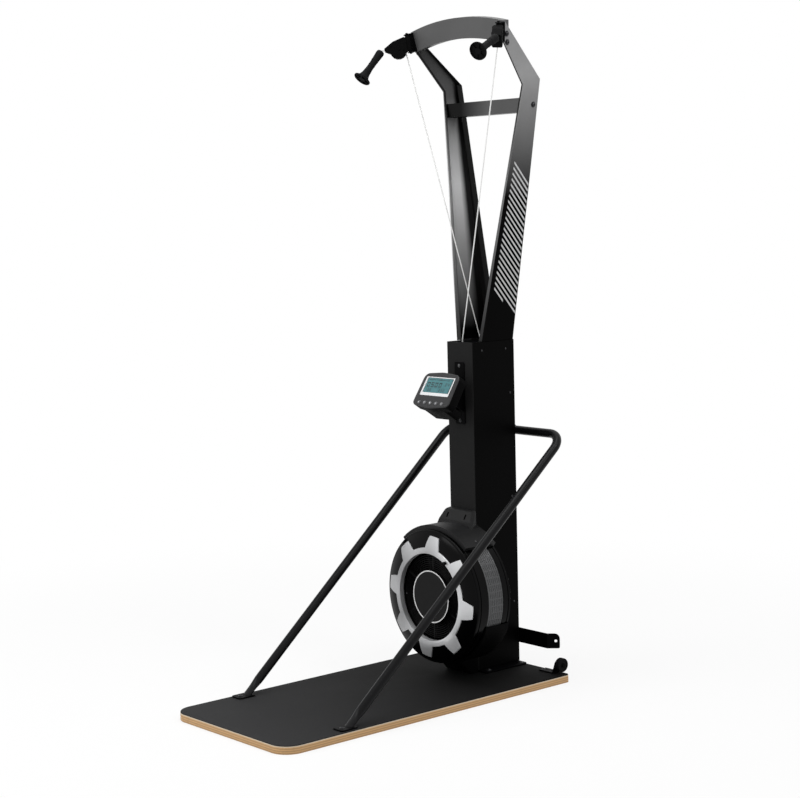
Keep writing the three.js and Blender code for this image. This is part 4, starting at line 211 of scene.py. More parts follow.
class Finish:
    """A material built from nodes that read object coordinates."""

    def __init__(self, name, roughness=0.5, metallic=0.0, **sockets):
        self.material = bpy.data.materials.new(name)
        self.material.use_nodes = True
        self.nodes = self.material.node_tree.nodes
        self.links = self.material.node_tree.links
        self.shader = next(n for n in self.nodes if n.type == "BSDF_PRINCIPLED")
        self.shader.inputs["Roughness"].default_value = roughness
        self.shader.inputs["Metallic"].default_value = metallic
        for socket, value in sockets.items():
            self.shader.inputs[socket.replace("_", " ")].default_value = value
        self.place = self.add("ShaderNodeTexCoord").outputs["Object"]

    def add(self, kind, **settings):
        node = self.nodes.new(kind)
        for key, value in settings.items():
            setattr(node, key, value)
        return node

    def feed(self, node, **values):
        """Sets or links a node's inputs by name."""
        for key, value in values.items():
            socket = node.inputs[key.replace("_", " ")]
            if isinstance(value, bpy.types.NodeSocket):
                self.links.new(value, socket)
            else:
                socket.default_value = value
        return node

    def axes(self, vector=None):
        """The X, Y and Z of a vector, or else of the place."""
        split = self.add("ShaderNodeSeparateXYZ")
        self.links.new(vector or self.place, split.inputs[0])
        return [split.outputs[axis] for axis in "XYZ"]

    def mapped(self, scale, vector=None):
        node = self.feed(self.add("ShaderNodeMapping"), Vector=vector or self.place)
        node.inputs["Scale"].default_value = scale
        return node.outputs["Vector"]

    def noise(self, scale, detail=3.0, roughness=0.5, vector=None):
        node = self.add("ShaderNodeTexNoise")
        self.feed(node, Vector=vector or self.place, Scale=scale, Detail=detail, Roughness=roughness)
        return node.outputs["Fac"]

    def cells(self, scale, vector=None, feature="F1"):
        node = self.add("ShaderNodeTexVoronoi", feature=feature)
        self.feed(node, Vector=vector or self.place, Scale=scale)
        return node.outputs["Distance"]

    def ramp(self, factor, *stops):
        node = self.add("ShaderNodeValToRGB")
        self.links.new(factor, node.inputs["Fac"])
        elements = node.color_ramp.elements
        while len(elements) < len(stops):
            elements.new(0.5)
        for element, (place, colour) in zip(elements, stops):
            element.position = place
            element.color = (*colour, 1) if isinstance(colour, tuple) else (colour, colour, colour, 1)
        return node.outputs["Color"]

    def graded(self, value, stops, unit=MM):
        """A grey by a value: stops are (value in units, share). A final gain keeps shares over 1."""
        first, last = stops[0][0], stops[-1][0]
        top = max(share for _, share in stops)
        node = self.add("ShaderNodeMapRange")
        self.feed(node, Value=value, From_Min=first * unit, From_Max=last * unit)
        grey = self.ramp(node.outputs["Result"],
                         *(((at - first) / (last - first), share / top) for at, share in stops))
        return self.mix(1.0, grey, (top, top, top), "MULTIPLY")

    def spread(self, factor, low, high):
        """Stretches a factor between two values."""
        node = self.add("ShaderNodeMapRange")
        self.feed(node, Value=factor, To_Min=low, To_Max=high)
        return node.outputs["Result"]

    def mix(self, factor, first, second, blend="MIX"):
        node = self.add("ShaderNodeMix", data_type="RGBA", blend_type=blend)
        for index, value in ((0, factor), (6, first), (7, second)):
            if isinstance(value, bpy.types.NodeSocket):
                self.links.new(value, node.inputs[index])
            else:
                node.inputs[index].default_value = value if index == 0 else (*value, 1)
        return node.outputs[2]

    def maths(self, operation, first, second=0.0):
        node = self.add("ShaderNodeMath", operation=operation)
        for index, value in enumerate((first, second)):
            if isinstance(value, bpy.types.NodeSocket):
                self.links.new(value, node.inputs[index])
            else:
                node.inputs[index].default_value = value
        return node.outputs[0]

    def colour(self, value):
        self.feed(self.shader, Base_Color=value if isinstance(value, bpy.types.NodeSocket) else (*value, 1))

    def tint(self, factor, colour, low, high):
        """From a darker to a lighter share of a colour."""
        return self.mix(factor, scaled(colour, low), scaled(colour, high))

    def rough(self, value, low=None, high=None):
        if low is not None:
            value = self.spread(value, low, high)
        self.links.new(value, self.shader.inputs["Roughness"])

    def relief(self, height, depth, strength=1.0):
        """Adds a bump of a depth in millimetres."""
        node = self.add("ShaderNodeBump")
        self.feed(node, Height=height, Distance=depth * MM, Strength=strength)
        if self.shader.inputs["Normal"].is_linked:
            self.links.new(self.shader.inputs["Normal"].links[0].from_socket, node.inputs["Normal"])
        self.links.new(node.outputs["Normal"], self.shader.inputs["Normal"])


def scaled(colour, share):
    return tuple(channel * share for channel in colour)


def powder_coat(name, colour, roughness=0.45, metallic=0.0, grain=0.025, specular=0.025, light_and_shade=None):
    """Satin powder coat: a fine orange peel, faint cloudiness and a few handling marks. The last argument,
    if given, is called with the material and gives a grey, from 0 to 1 and more, that the colour is
    multiplied
    by from place to place: painted light and shade."""
    made = Finish(name, roughness, metallic, Specular_IOR_Level=specular)
    cloud = made.noise(9, 4)
    marks = made.ramp(made.noise(60, 6, 0.65), (0.60, 0.0), (0.72, 1.0))
    tone = made.tint(made.spread(cloud, 0, 1), colour, 0.86, 1.14)
    # Painted light and shade: the colour is multiplied by a grey that changes from place to place
    if light_and_shade:
        tone = made.mix(1.0, tone, light_and_shade(made), "MULTIPLY")
    made.colour(tone)
    wear = made.maths("MULTIPLY", marks, 0.12)
    made.rough(made.maths("ADD", made.spread(cloud, roughness - 0.05, roughness + 0.05), wear))
    made.relief(made.noise(1500, 1), grain)
    made.relief(made.noise(260, 2), grain)
    return made.material


def painted_sheen_on_column(made):
    """Painted light and shade: the front face is painted lighter as a satin sheen, and the sides are painted
    deep black as shade.
    """
    return made.graded(made.axes()[1], ((COLUMN_FRONT + 0.6, 1.0), (COLUMN_FRONT + 3, 0.06)))


def painted_shadow_on_crossbar(made):
    """Painted shadow: black at the left end, where the left upright shades it, and grey from the middle on.
    """
    return made.graded(made.axes()[0], ((-110, 0.0), (20, 0.9)))


def painted_light_on_mat(made):
    """Painted light and shadow: paler where the user stands, as if lit from the front, and black under the
    flywheel as painted shadow.
    """
    return made.graded(made.axes()[1], ((-600, 0.9), (0, 0.3), (300, 0.03)))


def painted_light_on_uprights(made):
    """Painted light and shade on the uprights: light at the head and black at the foot on the right, lightest
    halfway up on the left, where the web also darkens towards its rear edge, and the flanges painted dark.
    """
    flange_starts, edge_ends, web_depth, web_taper = 4.5, 60, 142, 0.08
    x, y, z = made.axes()
    # Painted light and shade by height on the left web, the right web and the front flanges
    left = made.graded(z, ((1200, 0.0), (1700, 1.9), (2000, 0.2), (2200, 0.05)))
    right = made.graded(z, ((1650, 0.0), (2050, 0.8), (2200, 0.7)))
    edge = made.graded(z, ((1200, 0.1), (1700, 0.5), (1960, 0.03)))
    rise = made.maths("SUBTRACT", z, COLUMN_TOP * MM)

    def above_column(slope, foot):
        """A length that is foot at the column's top and changes by slope from there on."""
        return made.maths("ADD", made.maths("MULTIPLY", rise, slope), foot * MM)

    inward = made.maths("SUBTRACT", above_column(math.tan(WEB_LEAN), WEB_FOOT_X), made.maths("ABSOLUTE", x))
    flange = made.maths("GREATER_THAN", inward, flange_starts * MM)
    behind = made.maths("SUBTRACT", y, above_column(FRONT_SLOPE, WEB_FOOT_FRONT))
    share = made.maths("DIVIDE", behind, above_column(-web_taper, web_depth))
    # Painted shade on the left web, darker towards its rear edge
    left = made.mix(1.0, left, made.graded(share, ((0.55, 1.0), (0.8, 0.05)), 1), "MULTIPLY")
    web = made.mix(made.maths("GREATER_THAN", x, 0.0), left, right)
    # Painted shade on the flanges: black on the rear ones
    dark = made.mix(made.maths("GREATER_THAN", behind, edge_ends * MM), edge, (0.03, 0.03, 0.03))
    return made.mix(flange, web, dark)


def moulded(name, colour, roughness=0.55, grain=0.06, specular=0.25):
    """Moulded plastic with a fine spark-eroded grain."""
    made = Finish(name, roughness, Specular_IOR_Level=specular)
    cloud = made.noise(14, 3)
    made.colour(made.tint(cloud, colour, 0.88, 1.12))
    made.rough(made.noise(40, 4), roughness - 0.06, roughness + 0.06)
    made.relief(made.noise(900, 2, 0.6), grain)
    return made.material


def gloss_moulded(name, colour):
    """Polished black plastic with faint ripples."""
    made = Finish(name, 0.14, Specular_IOR_Level=0.07)
    made.colour(made.tint(made.noise(8, 2), colour, 0.3, 0.5))
    made.rough(made.noise(55, 5, 0.6), 0.1, 0.2)
    made.relief(made.noise(22, 1), 0.12)
    return made.material


def silver_paint(name, colour):
    """Silver paint with a fine metallic flake, and a painted sheen that makes the colour lighter and darker
    round the axle.
    """
    made = Finish(name, 0.38, 0.45)
    flaked = made.tint(made.spread(made.cells(1400), 0, 1), colour, 0.92, 1.08)
    x, _, z = made.axes()
    turn = made.maths("ARCTAN2", made.maths("SUBTRACT", z, AXLE_Z * MM), x)
    # Painted sheen: the colour grows lighter and darker round the axle
    sheen = 0.84
    for waves, phase, swing in ((1, 1.5, 0.24), (6, 1.7, 0.12)):
        wave = made.maths("SINE", made.maths("ADD", made.maths("MULTIPLY", turn, waves), phase))
        sheen = made.maths("ADD", made.maths("MULTIPLY", wave, swing), sheen)
    made.colour(made.mix(1.0, flaked, sheen, "MULTIPLY"))
    made.rough(made.noise(30, 4), 0.32, 0.44)
    made.relief(made.noise(900, 1), 0.02)
    return made.material


def brushed_metal(name, colour):
    """Metal with fine lines along one way."""
    made = Finish(name, 0.34, 1.0)
    lines = made.noise(40, 5, 0.7, made.mapped((1, 60, 1)))
    made.colour(made.tint(lines, colour, 0.82, 1.12))
    made.rough(lines, 0.26, 0.44)
    made.relief(lines, 0.03)
    return made.material


def turned_steel(name, colour=(0.55, 0.56, 0.57), roughness=0.28):
    made = Finish(name, roughness, 1.0)
    stain = made.noise(35, 5, 0.6)
    made.colour(made.tint(stain, colour, 0.85, 1.1))
    made.rough(made.noise(120, 4), roughness - 0.08, roughness + 0.12)
    made.relief(made.noise(700, 2), 0.015)
    return made.material


def rubber_mat(name, colour):
    """Rubber with a raised pebble grain, with painted light that makes it paler where the feet stand and
    painted shadow under the flywheel.
    """
    made = Finish(name, 0.82, Specular_IOR_Level=0.08)
    pebble = made.cells(420, feature="SMOOTH_F1")
    patch = made.noise(5, 5, 0.6)
    tint = made.tint(made.spread(patch, 0, 1), colour, 0.85, 1.15)
    # Painted shade: the hollows between the pebbles are darker
    tint = made.mix(made.ramp(pebble, (0.1, 0.0), (0.75, 0.45)), tint, scaled(colour, 0.5))
    # Painted light and shadow along the mat
    made.colour(made.mix(1.0, tint, painted_light_on_mat(made), "MULTIPLY"))
    made.rough(patch, 0.74, 0.9)
    made.relief(made.ramp(pebble, (0.0, 1.0), (0.8, 0.0)), 0.22)
    made.relief(made.noise(1600, 2), 0.05)
    return made.material


def soft_rubber(name, colour=(0.0045, 0.0045, 0.0048)):
    made = Finish(name, 0.75, Specular_IOR_Level=0.06)
    made.colour(made.tint(made.noise(30, 4), colour, 0.85, 1.2))
    made.rough(made.noise(18, 4), 0.6, 0.78)
    made.relief(made.cells(850), 0.07)
    return made.material


def plywood(name, colour):
    """Plywood: thin veneers whose grain turns by a quarter from each to the next, sanded and oiled."""
    made = Finish(name, 0.5)
    veneers = 7
    z = made.axes()[2]
    height = made.maths("ADD", z, made.maths("MULTIPLY", made.noise(6, 2), 0.0008))
    layer = made.maths("MULTIPLY", height, veneers / (BOARD_TOP * MM))
    band = made.ramp(made.maths("PINGPONG", layer, 1), (0.42, 0.0), (0.58, 1.0))
    long_grain = made.noise(26, 6, 0.62, made.mapped((1, 0.05, 1.0)))
    end_grain = made.noise(180, 3, 0.5, made.mapped((1, 1, 0.35)))
    light = made.tint(long_grain, colour, 0.95, 1.2)
    dark = made.tint(end_grain, colour, 0.66, 0.84)
    tone = made.mix(band, light, dark)
    knots = made.ramp(made.noise(15, 4, 0.7), (0.58, 0.0), (0.72, 1.0))
    tone = made.mix(made.maths("MULTIPLY", knots, 0.35), tone, scaled(colour, 0.42))
    lines = made.ramp(made.maths("PINGPONG", layer, 0.5), (0.0, 1.0), (0.07, 0.0))
    tone = made.mix(made.maths("MULTIPLY", lines, 0.3), tone, scaled(colour, 0.4))
    rim = made.graded(z, ((BOARD_TOP - 3.4, 0.0), (BOARD_TOP - 2.6, 1.0)))
    made.colour(made.mix(made.maths("MULTIPLY", rim, 0.75), tone, (0.62, 0.54, 0.42)))
    made.rough(end_grain, 0.42, 0.62)
    made.relief(end_grain, 0.05)
    made.relief(lines, -0.06)
    return made.material


def braided(name, colour):
    """Braided cord: two families of strands that cross. They lie on a map named along, which the cords
    don't have, so for now they come out plain."""
    made = Finish(name, 0.75, Sheen_Weight=0.15)
    own = made.add("ShaderNodeUVMap", uv_map="along").outputs["UV"]
    waves = []
    for turn in (1, -1):
        across, along, _ = made.axes(made.mapped((4, turn * 260, 1), own))
        waves.append(made.maths("PINGPONG", made.maths("ADD", across, along), 0.5))
    strand = made.maths("MULTIPLY", made.maths("MINIMUM", waves[0], waves[1]), 2)
    # Painted shade: the valleys between the strands are darker
    made.colour(made.mix(strand, scaled(colour, 0.85), colour))
    made.relief(strand, 0.15)
    return made.material


def painted(name, colour, roughness=0.5):
    made = Finish(name, roughness)
    made.colour(made.tint(made.noise(300, 4), colour, 0.93, 1.05))
    made.relief(made.noise(1200, 1), 0.01)
    return made.material


def display_glass(name, colour):
    """Lit display glass: a little cloudy in brightness, with a fine dot grid."""
    made = Finish(name, 0.2, Specular_IOR_Level=0.2, Coat_Weight=0.15, Coat_Roughness=0.05)
    own = made.add("ShaderNodeUVMap", uv_map="along").outputs["UV"]
    grid = made.cells(90, own)
    cloud = made.noise(3, 2, 0.5, own)
    lit = made.tint(made.spread(cloud, 0, 1), colour, 0.75, 1.2)
    lit = made.mix(made.maths("MULTIPLY", grid, 0.12), lit, scaled(colour, 0.5))
    made.colour(lit)
    made.feed(made.shader, Emission_Color=lit, Emission_Strength=0.12)
    return made.material


MATERIALS = {}


def make_materials(colours):
    tones = {key: tuple(getattr(colours, key)) for key in ErgometerColours.__annotations__}
    black, grey, gloss, matt = (tones[key] for key in ("black_paint", "grey_paint", "gloss_plastic",
                                                       "matt_plastic"))
    MATERIALS.update(
        black_paint=powder_coat("black_powder_coat", black),
        rail_paint=powder_coat("black_tube_paint", scaled(black, 2.4), 0.32, specular=0.12),
        # The column, crossbar and upright paints carry painted light and shade
        column_paint=powder_coat("column_powder_coat", scaled(grey, 0.18), light_and_shade=painted_sheen_on_column),
        grey_paint=powder_coat("grey_satin_paint", grey, 0.36, 0.35, 0.015, 0.16),
        crossbar_paint=powder_coat("crossbar_satin_paint", grey, 0.36, 0.3, 0.015, 0.1, painted_shadow_on_crossbar),
        upright_paint=powder_coat("upright_satin_paint", scaled(grey, 4), 0.4, 0.0, 0.015, 0.025, painted_light_on_uprights),
        stripe_paint=painted("stripe_print", tones["stripe"]),
        white_print=painted("white_print", (0.86, 0.86, 0.86)),
        gloss_black=gloss_moulded("gloss_black_plastic", gloss),
        matt_black=moulded("matt_black_plastic", matt),
        shroud_black=moulded("shroud_plastic", scaled(matt, 0.6), 0.5, specular=0.16),
        case_black=moulded("case_plastic", scaled(matt, 0.25), 0.7, specular=0.03),
        deep_black=moulded("deep_black_plastic", scaled(matt, 0.1), 0.6, specular=0.03),
        hub_black=moulded("hub_plastic", scaled(matt, 0.3), 0.5, specular=0.12),
        console_black=moulded("console_plastic", scaled(matt, 0.08), 0.6, 0.03, specular=0.03),
        console_face=moulded("console_face_plastic", scaled(matt, 1.8), 0.42, 0.03),
        button=moulded("button_plastic", scaled(matt, 9), 0.4, 0.02),
        grille_black=moulded("grille_plastic", scaled(gloss, 0.6), 0.38, 0.03, specular=0.1),
        silver=silver_paint("silver_ring_paint", tones["silver"]),
        band_metal=brushed_metal("brushed_band_metal", (0.085, 0.086, 0.088)),
        dark_gauze=brushed_metal("dark_gauze_metal", (0.05, 0.051, 0.052)),
        dark_fan=turned_steel("blackened_fan_steel", (0.02, 0.02, 0.021), 0.45),
        steel=turned_steel("turned_steel"),
        zinc=turned_steel("zinc_plated_steel", (0.5, 0.5, 0.48), 0.36),
        black_steel=turned_steel("blackened_steel", (0.045, 0.045, 0.048), 0.4),
        mat=rubber_mat("pebbled_mat_rubber", tones["mat"]),
        rubber=soft_rubber("grip_rubber"),
        belt=soft_rubber("belt_rubber", (0.02, 0.02, 0.02)),
        plywood=plywood("birch_plywood", tones["veneer"]),
        cord=braided("white_braid", tones["cord"]),
        bezel=painted("display_frame_plastic", (0.68, 0.69, 0.7), 0.35),
        display=display_glass("display_glass", tones["display"]),
        digits=painted("display_digits", (0.002, 0.018, 0.022), 0.5),
        symbol=painted("button_symbol_print", (0.5, 0.51, 0.52)),
    )


# Shapes

def rounded(corners, steps=8):
    """A closed outline through corners (x, y, radius); a corner with a radius becomes an arc."""
    points = []
    for index, corner in enumerate(corners):
        here = Vector(corner[:2])
        radius = corner[2] if len(corner) > 2 else 0
        if not radius:
            points.append(here)
            continue
        back = (Vector(corners[index - 1][:2]) - here).normalized()
        ahead = (Vector(corners[(index + 1) % len(corners)][:2]) - here).normalized()
        half = math.acos(max(-1, min(1, back.dot(ahead)))) / 2
        start = here + back * (radius / math.tan(half))
        end = here + ahead * (radius / math.tan(half))
        centre = here + (back + ahead).normalized() * (radius / math.sin(half))
        first, last = (math.atan2(p.y - centre.y, p.x - centre.x) for p in (start, end))
        swing = (last - first + math.pi) % TURN - math.pi
        points += [centre + radius * Vector((math.cos(a), math.sin(a)))
                   for a in (first + swing * k / steps for k in range(steps + 1))]
    return points


def rectangle(x0, x1, y0, y1, radius=0, steps=6):
    return rounded([(x0, y0, radius), (x1, y0, radius), (x1, y1, radius), (x0, y1, radius)], steps)


def circle(x, y, radius, steps=48):
    return [Vector((x + radius * math.cos(TURN * k / steps), y + radius * math.sin(TURN * k / steps)))
            for k in range(steps)]


def inset(points, depth):
    """An outline moved inwards along the bisectors of its corners."""
    area = sum(a.x * b.y - a.y * b.x for a, b in zip(points, points[1:] + points[:1]))
    side = 1 if area > 0 else -1
    moved = []
    for index, here in enumerate(points):
        before = (here - points[index - 1]).normalized()
        after = (points[(index + 1) % len(points)] - here).normalized()
        normal = Vector((-before.y - after.y, before.x + after.x)) * side
        if normal.length < 1e-6:
            moved.append(here.copy())
            continue
        normal.normalize()
        own = Vector((-before.y, before.x)) * side
        moved.append(here + normal * depth / max(0.35, normal.dot(own)))
    return moved


X_BASIS = Matrix(((0, 0, 1), (1, 0, 0), (0, 1, 0))).to_4x4()
Y_BASIS = Matrix(((1, 0, 0), (0, 0, 1), (0, 1, 0))).to_4x4()
Z_BASIS = Matrix.Identity(4)


class Form:
    """A mesh in the making, in millimetres."""

    def __init__(self):
        self.bm = bmesh.new()

    def skin(self, rings, closed=False, lengths=None):
        """Joins rings of points into a skin; a ring of one point is a pole."""
        layer = self.bm.loops.layers.uv.verify() if lengths else None
        made = [[self.bm.verts.new(p) for p in ring] for ring in rings]
        faces = []
        pairs = list(zip(made, made[1:])) + ([(made[-1], made[0])] if closed else [])
        for row, (a, b) in enumerate(pairs):
            count = max(len(a), len(b))
            for k in range(count):
                n = (k + 1) % count
                if len(a) == 1:
                    corners = (a[0], b[n], b[k])
                elif len(b) == 1:
                    corners = (a[k], a[n], b[0])
                else:
                    corners = (a[k], a[n], b[n], b[k])
                face = self.bm.faces.new(corners)
                faces.append(face)
                if layer and len(corners) == 4:
                    near, far = lengths[row], lengths[row + 1]
                    for loop, uv in zip(face.loops, ((k, near), (k + 1, near), (k + 1, far), (k, far))):
                        loop[layer].uv = (uv[0] / count, uv[1] * MM)
        if not closed:
            for ring in (made[0], made[-1]):
                if len(ring) > 2:
                    faces.append(self.bm.faces.new(ring))
        bmesh.ops.recalc_face_normals(self.bm, faces=faces)
        return self

    def lathe(self, profile, segments=96, centre=(0, 0, 0)):
        """Turns a closed profile of (radius, y) round a line along Y through the centre."""
        rings = []
        for radius, y in profile:
            rings.append([Vector(centre) + Vector((radius * math.cos(TURN * k / segments), y,
                                                   radius * math.sin(TURN * k / segments)))
                          for k in range(segments if radius > 0 else 1)])
        poles = len(rings[0]) == 1 or len(rings[-1]) == 1
        return self.skin(rings, not poles)

    def slab(self, points, near, far, basis=Z_BASIS, edge=0.0, steps=3, place=None):
        """An outline given a thickness, with its two rims rounded."""
        place = (place or Matrix.Identity(4)) @ basis
        levels = [(near, 0.0), (far, 0.0)]
        if edge:
            arcs = [math.pi / 2 * k / steps for k in range(steps + 1)]
            levels = [(near + edge * (1 - math.sin(a)), edge * (1 - math.cos(a))) for a in reversed(arcs)]
            levels += [(far - edge * (1 - math.sin(a)), edge * (1 - math.cos(a))) for a in arcs]
        rings = [[place @ Vector((p.x, p.y, level)) for p in (inset(points, depth) if depth else points)]
                 for level, depth in levels]
        return self.skin(rings)

    def sweep(self, points, radius, sides=16, section=None):
        """A tube along points. section(index) may give an across and a through scale for a ring."""
        count = len(points)
        tangents = []
        for i, p in enumerate(points):
            ahead = (points[min(i + 1, count - 1)] - p)
            back = (p - points[max(i - 1, 0)])
            tangents.append((ahead.normalized() + back.normalized()).normalized())
        side = tangents[0].orthogonal().normalized()
        across = Vector((1, 0, 0)) - tangents[0] * tangents[0].x
        if across.length > 0.3:
            side = across.normalized()
        rings, lengths, run = [], [], 0.0
        for i, (p, tangent) in enumerate(zip(points, tangents)):
            side = (side - tangent * side.dot(tangent)).normalized()
            other = tangent.cross(side)
            wide, thick = section(i) if section else (1, 1)
            rings.append([p + side * radius * wide * math.cos(TURN * k / sides)
                          + other * radius * thick * math.sin(TURN * k / sides) for k in range(sides)])
            run += (p - points[i - 1]).length if i else 0
            lengths.append(run)
        return self.skin(rings, lengths=lengths)

    def block(self, x0, x1, y0, y1, z0, z1, place=None, edge=0.0):
        return self.slab(rectangle(x0, x1, y0, y1), z0, z1, Z_BASIS, edge, 2, place)

    def moved(self, matrix):
        bmesh.ops.transform(self.bm, matrix=matrix, verts=self.bm.verts)
        return self

    def take(self, mesh, move=(0, 0, 0)):
        """Adds a mesh that is in metres, moved by millimetres."""
        mesh.transform(Matrix.Translation(move) @ Matrix.Scale(1 / MM, 4))
        self.bm.from_mesh(mesh)
        return self

    def mesh(self, name):
        mesh = bpy.data.meshes.new(name)
        bmesh.ops.scale(self.bm, vec=(MM, MM, MM), verts=self.bm.verts)
        self.bm.to_mesh(mesh)
        self.bm.free()
        return mesh


def shade(mesh, angle=32):
    mesh.polygons.foreach_set("use_smooth", [True] * len(mesh.polygons))
    mesh.set_sharp_from_angle(angle=math.radians(angle))


def piece(name, source, material, body, replaces=(), angle=32, bevel=0.0, segments=2, limit=30):
    """Makes a finished piece from a form or a mesh, and fixes it to its body."""
    mesh = source.mesh(name) if isinstance(source, Form) else source
    item = bpy.data.objects.new(name, mesh)
    bpy.context.scene.collection.objects.link(item)
    if material is not None:
        mesh.materials.clear()
        mesh.materials.append(MATERIALS[material])
    shade(mesh, angle)
    if bevel:
        edge = item.modifiers.new("edges", "BEVEL")
        edge.width = bevel
        edge.segments = segments
        edge.limit_method = "ANGLE"
        edge.angle_limit = math.radians(limit)
        edge.harden_normals = True
    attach(item, body)
    if replaces:
        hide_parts(*([replaces] if isinstance(replaces, str) else replaces))
    return item


def body_of(node):
    return next(body for body, nodes in frame["record"]["behaviour"]["bodies"].items() if node in nodes)


def merged_copy(node):
    """A copy of a solid's mesh with its corners joined and its flat faces whole."""
    form = bmesh.new()
    form.from_mesh(bpy.data.objects[frame["nodes"][node].name].data)
    bmesh.ops.remove_doubles(form, verts=form.verts, dist=0.02 * MM)
    bmesh.ops.dissolve_limit(form, angle_limit=math.radians(1), verts=form.verts, edges=form.edges)
    mesh = bpy.data.meshes.new(node + "_finish")
    form.to_mesh(mesh)
    form.free()
    return mesh


def dressed(node, material, width, segments=2, angle=32, limit=30):
    """A solid's own shape with rounded edges and a finish."""
    return piece(node + "_finish", merged_copy(node), material, body_of(node), node,
                 angle, width, segments, limit)


def instead(name, form, material, node, angle=32):
    """A piece that takes a node's place, on the node's body."""
    return piece(name, form, material, body_of(node), node, angle)


def turned(name, profile, material, node, segments=64, centre=(0, 0, 0), angle=32):
    """A turned piece that takes a node's place."""
    return instead(name, Form().lathe(profile, segments, centre), material, node, angle)


def carved(form, cutters, joined=()):
    """Joins forms to a form, cuts others out of it, and returns the mesh in metres."""
    base = bpy.data.objects.new("carving", form.mesh("carving"))
    bpy.context.scene.collection.objects.link(base)
    tools = []
    for operation, other in [("UNION", one) for one in joined] + [("DIFFERENCE", one) for one in cutters]:
        tool = bpy.data.objects.new("tool", other.mesh("tool"))
        bpy.context.scene.collection.objects.link(tool)
        tools.append(tool)
        change = base.modifiers.new("change", "BOOLEAN")
        change.operation = operation
        change.solver = "EXACT"
        change.object = tool
    bpy.context.view_layer.update()
    seen = bpy.context.evaluated_depsgraph_get()
    mesh = bpy.data.meshes.new_from_object(base.evaluated_get(seen))
    for item in [base, *tools]:
        old = item.data
        bpy.data.objects.remove(item)
        bpy.data.meshes.remove(old)
    return mesh


# Geometry node trees

class Tree:
    """A geometry node tree with named inputs."""

    def __init__(self, name):
        self.group = bpy.data.node_groups.new(name, "GeometryNodeTree")
        for way in ("INPUT", "OUTPUT"):
            self.group.interface.new_socket(name="Geometry", in_out=way, socket_type="NodeSocketGeometry")
        self.source = self.group.nodes.new("NodeGroupInput")
        self.sink = self.group.nodes.new("NodeGroupOutput")

    def given(self, name, default, kind="NodeSocketFloat"):
        """A named input with its default."""
        socket = self.group.interface.new_socket(name=name, in_out="INPUT", socket_type=kind)
        socket.default_value = default
        return self.source.outputs[name]

    def node(self, kind, inputs=None, **settings):
        """Adds a node, and returns its first output."""
        made = self.group.nodes.new(kind)
        for key, value in settings.items():
            setattr(made, key, value)
        for key, value in (inputs or {}).items():
            socket = made.inputs[key]
            if isinstance(value, bpy.types.NodeSocket):
                self.group.links.new(value, socket)
            else:
                socket.default_value = value
        return made.outputs[0]

    def maths(self, operation, first, second=0.0):
        return self.node("ShaderNodeMath", {0: first, 1: second}, operation=operation)

    def place(self, x=0.0, y=0.0, z=0.0):
        return self.node("ShaderNodeCombineXYZ", {0: x, 1: y, 2: z})

    def shifted(self, geometry, **change):
        """A geometry with a Translation, Rotation or Scale."""
        return self.node("GeometryNodeTransform", {"Geometry": geometry, **change})

    def row(self, count, step=(0, 0, 0)):
        """Points that are one step apart."""
        return self.node("GeometryNodeMeshLine", {"Count": count, "Offset": step}, mode="OFFSET")

    def copies(self, points, shape, **change):
        """A shape on every point, with a Rotation or Scale."""
        return self.node("GeometryNodeInstanceOnPoints", {"Points": points, "Instance": shape, **change})

    def ring(self, points, radius):
        """A circle, as a curve."""
        return self.node("GeometryNodeCurvePrimitiveCircle", {"Resolution": points, "Radius": radius},
                         mode="RADIUS")

    def join(self, *parts):
        made = self.group.nodes.new("GeometryNodeJoinGeometry")
        for part in parts:
            self.group.links.new(part, made.inputs[0])
        return made.outputs[0]

    def end(self, geometry, material):
        """Ends the tree with real geometry and its material."""
        real = self.node("GeometryNodeRealizeInstances", {"Geometry": geometry})
        finished = self.node("GeometryNodeSetMaterial", {"Geometry": real, "Material": MATERIALS[material]})
        self.group.links.new(finished, self.sink.inputs[0])


def grown(name, tree, values, seed_mesh=None):
    """Runs a tree on a seed mesh and returns its result as a plain mesh."""
    item = bpy.data.objects.new(name, seed_mesh or bpy.data.meshes.new(name + "_seed"))
    bpy.context.scene.collection.objects.link(item)
    maker = item.modifiers.new("maker", "NODES")
    maker.node_group = tree.group
    for socket in tree.group.interface.items_tree:
        if socket.item_type == "SOCKET" and socket.in_out == "INPUT" and socket.name in values:
            maker[socket.identifier] = values[socket.name]
    bpy.context.view_layer.update()
    seen = bpy.context.evaluated_depsgraph_get()
    mesh = bpy.data.meshes.new_from_object(item.evaluated_get(seen))
    mesh.name = name
    bpy.data.objects.remove(item)
    return mesh


def points_mesh(name, places):
    """Points with the way that each one faces, from (place, facing) in millimetres."""
    mesh = bpy.data.meshes.new(name)
    mesh.from_pydata([Vector(place) * MM for place, _ in places], [], [])
    facing = mesh.attributes.new("facing", "FLOAT_VECTOR", "POINT")
    facing.data.foreach_set("vector", [c for _, way in places for c in Vector(way).normalized()])
    return mesh


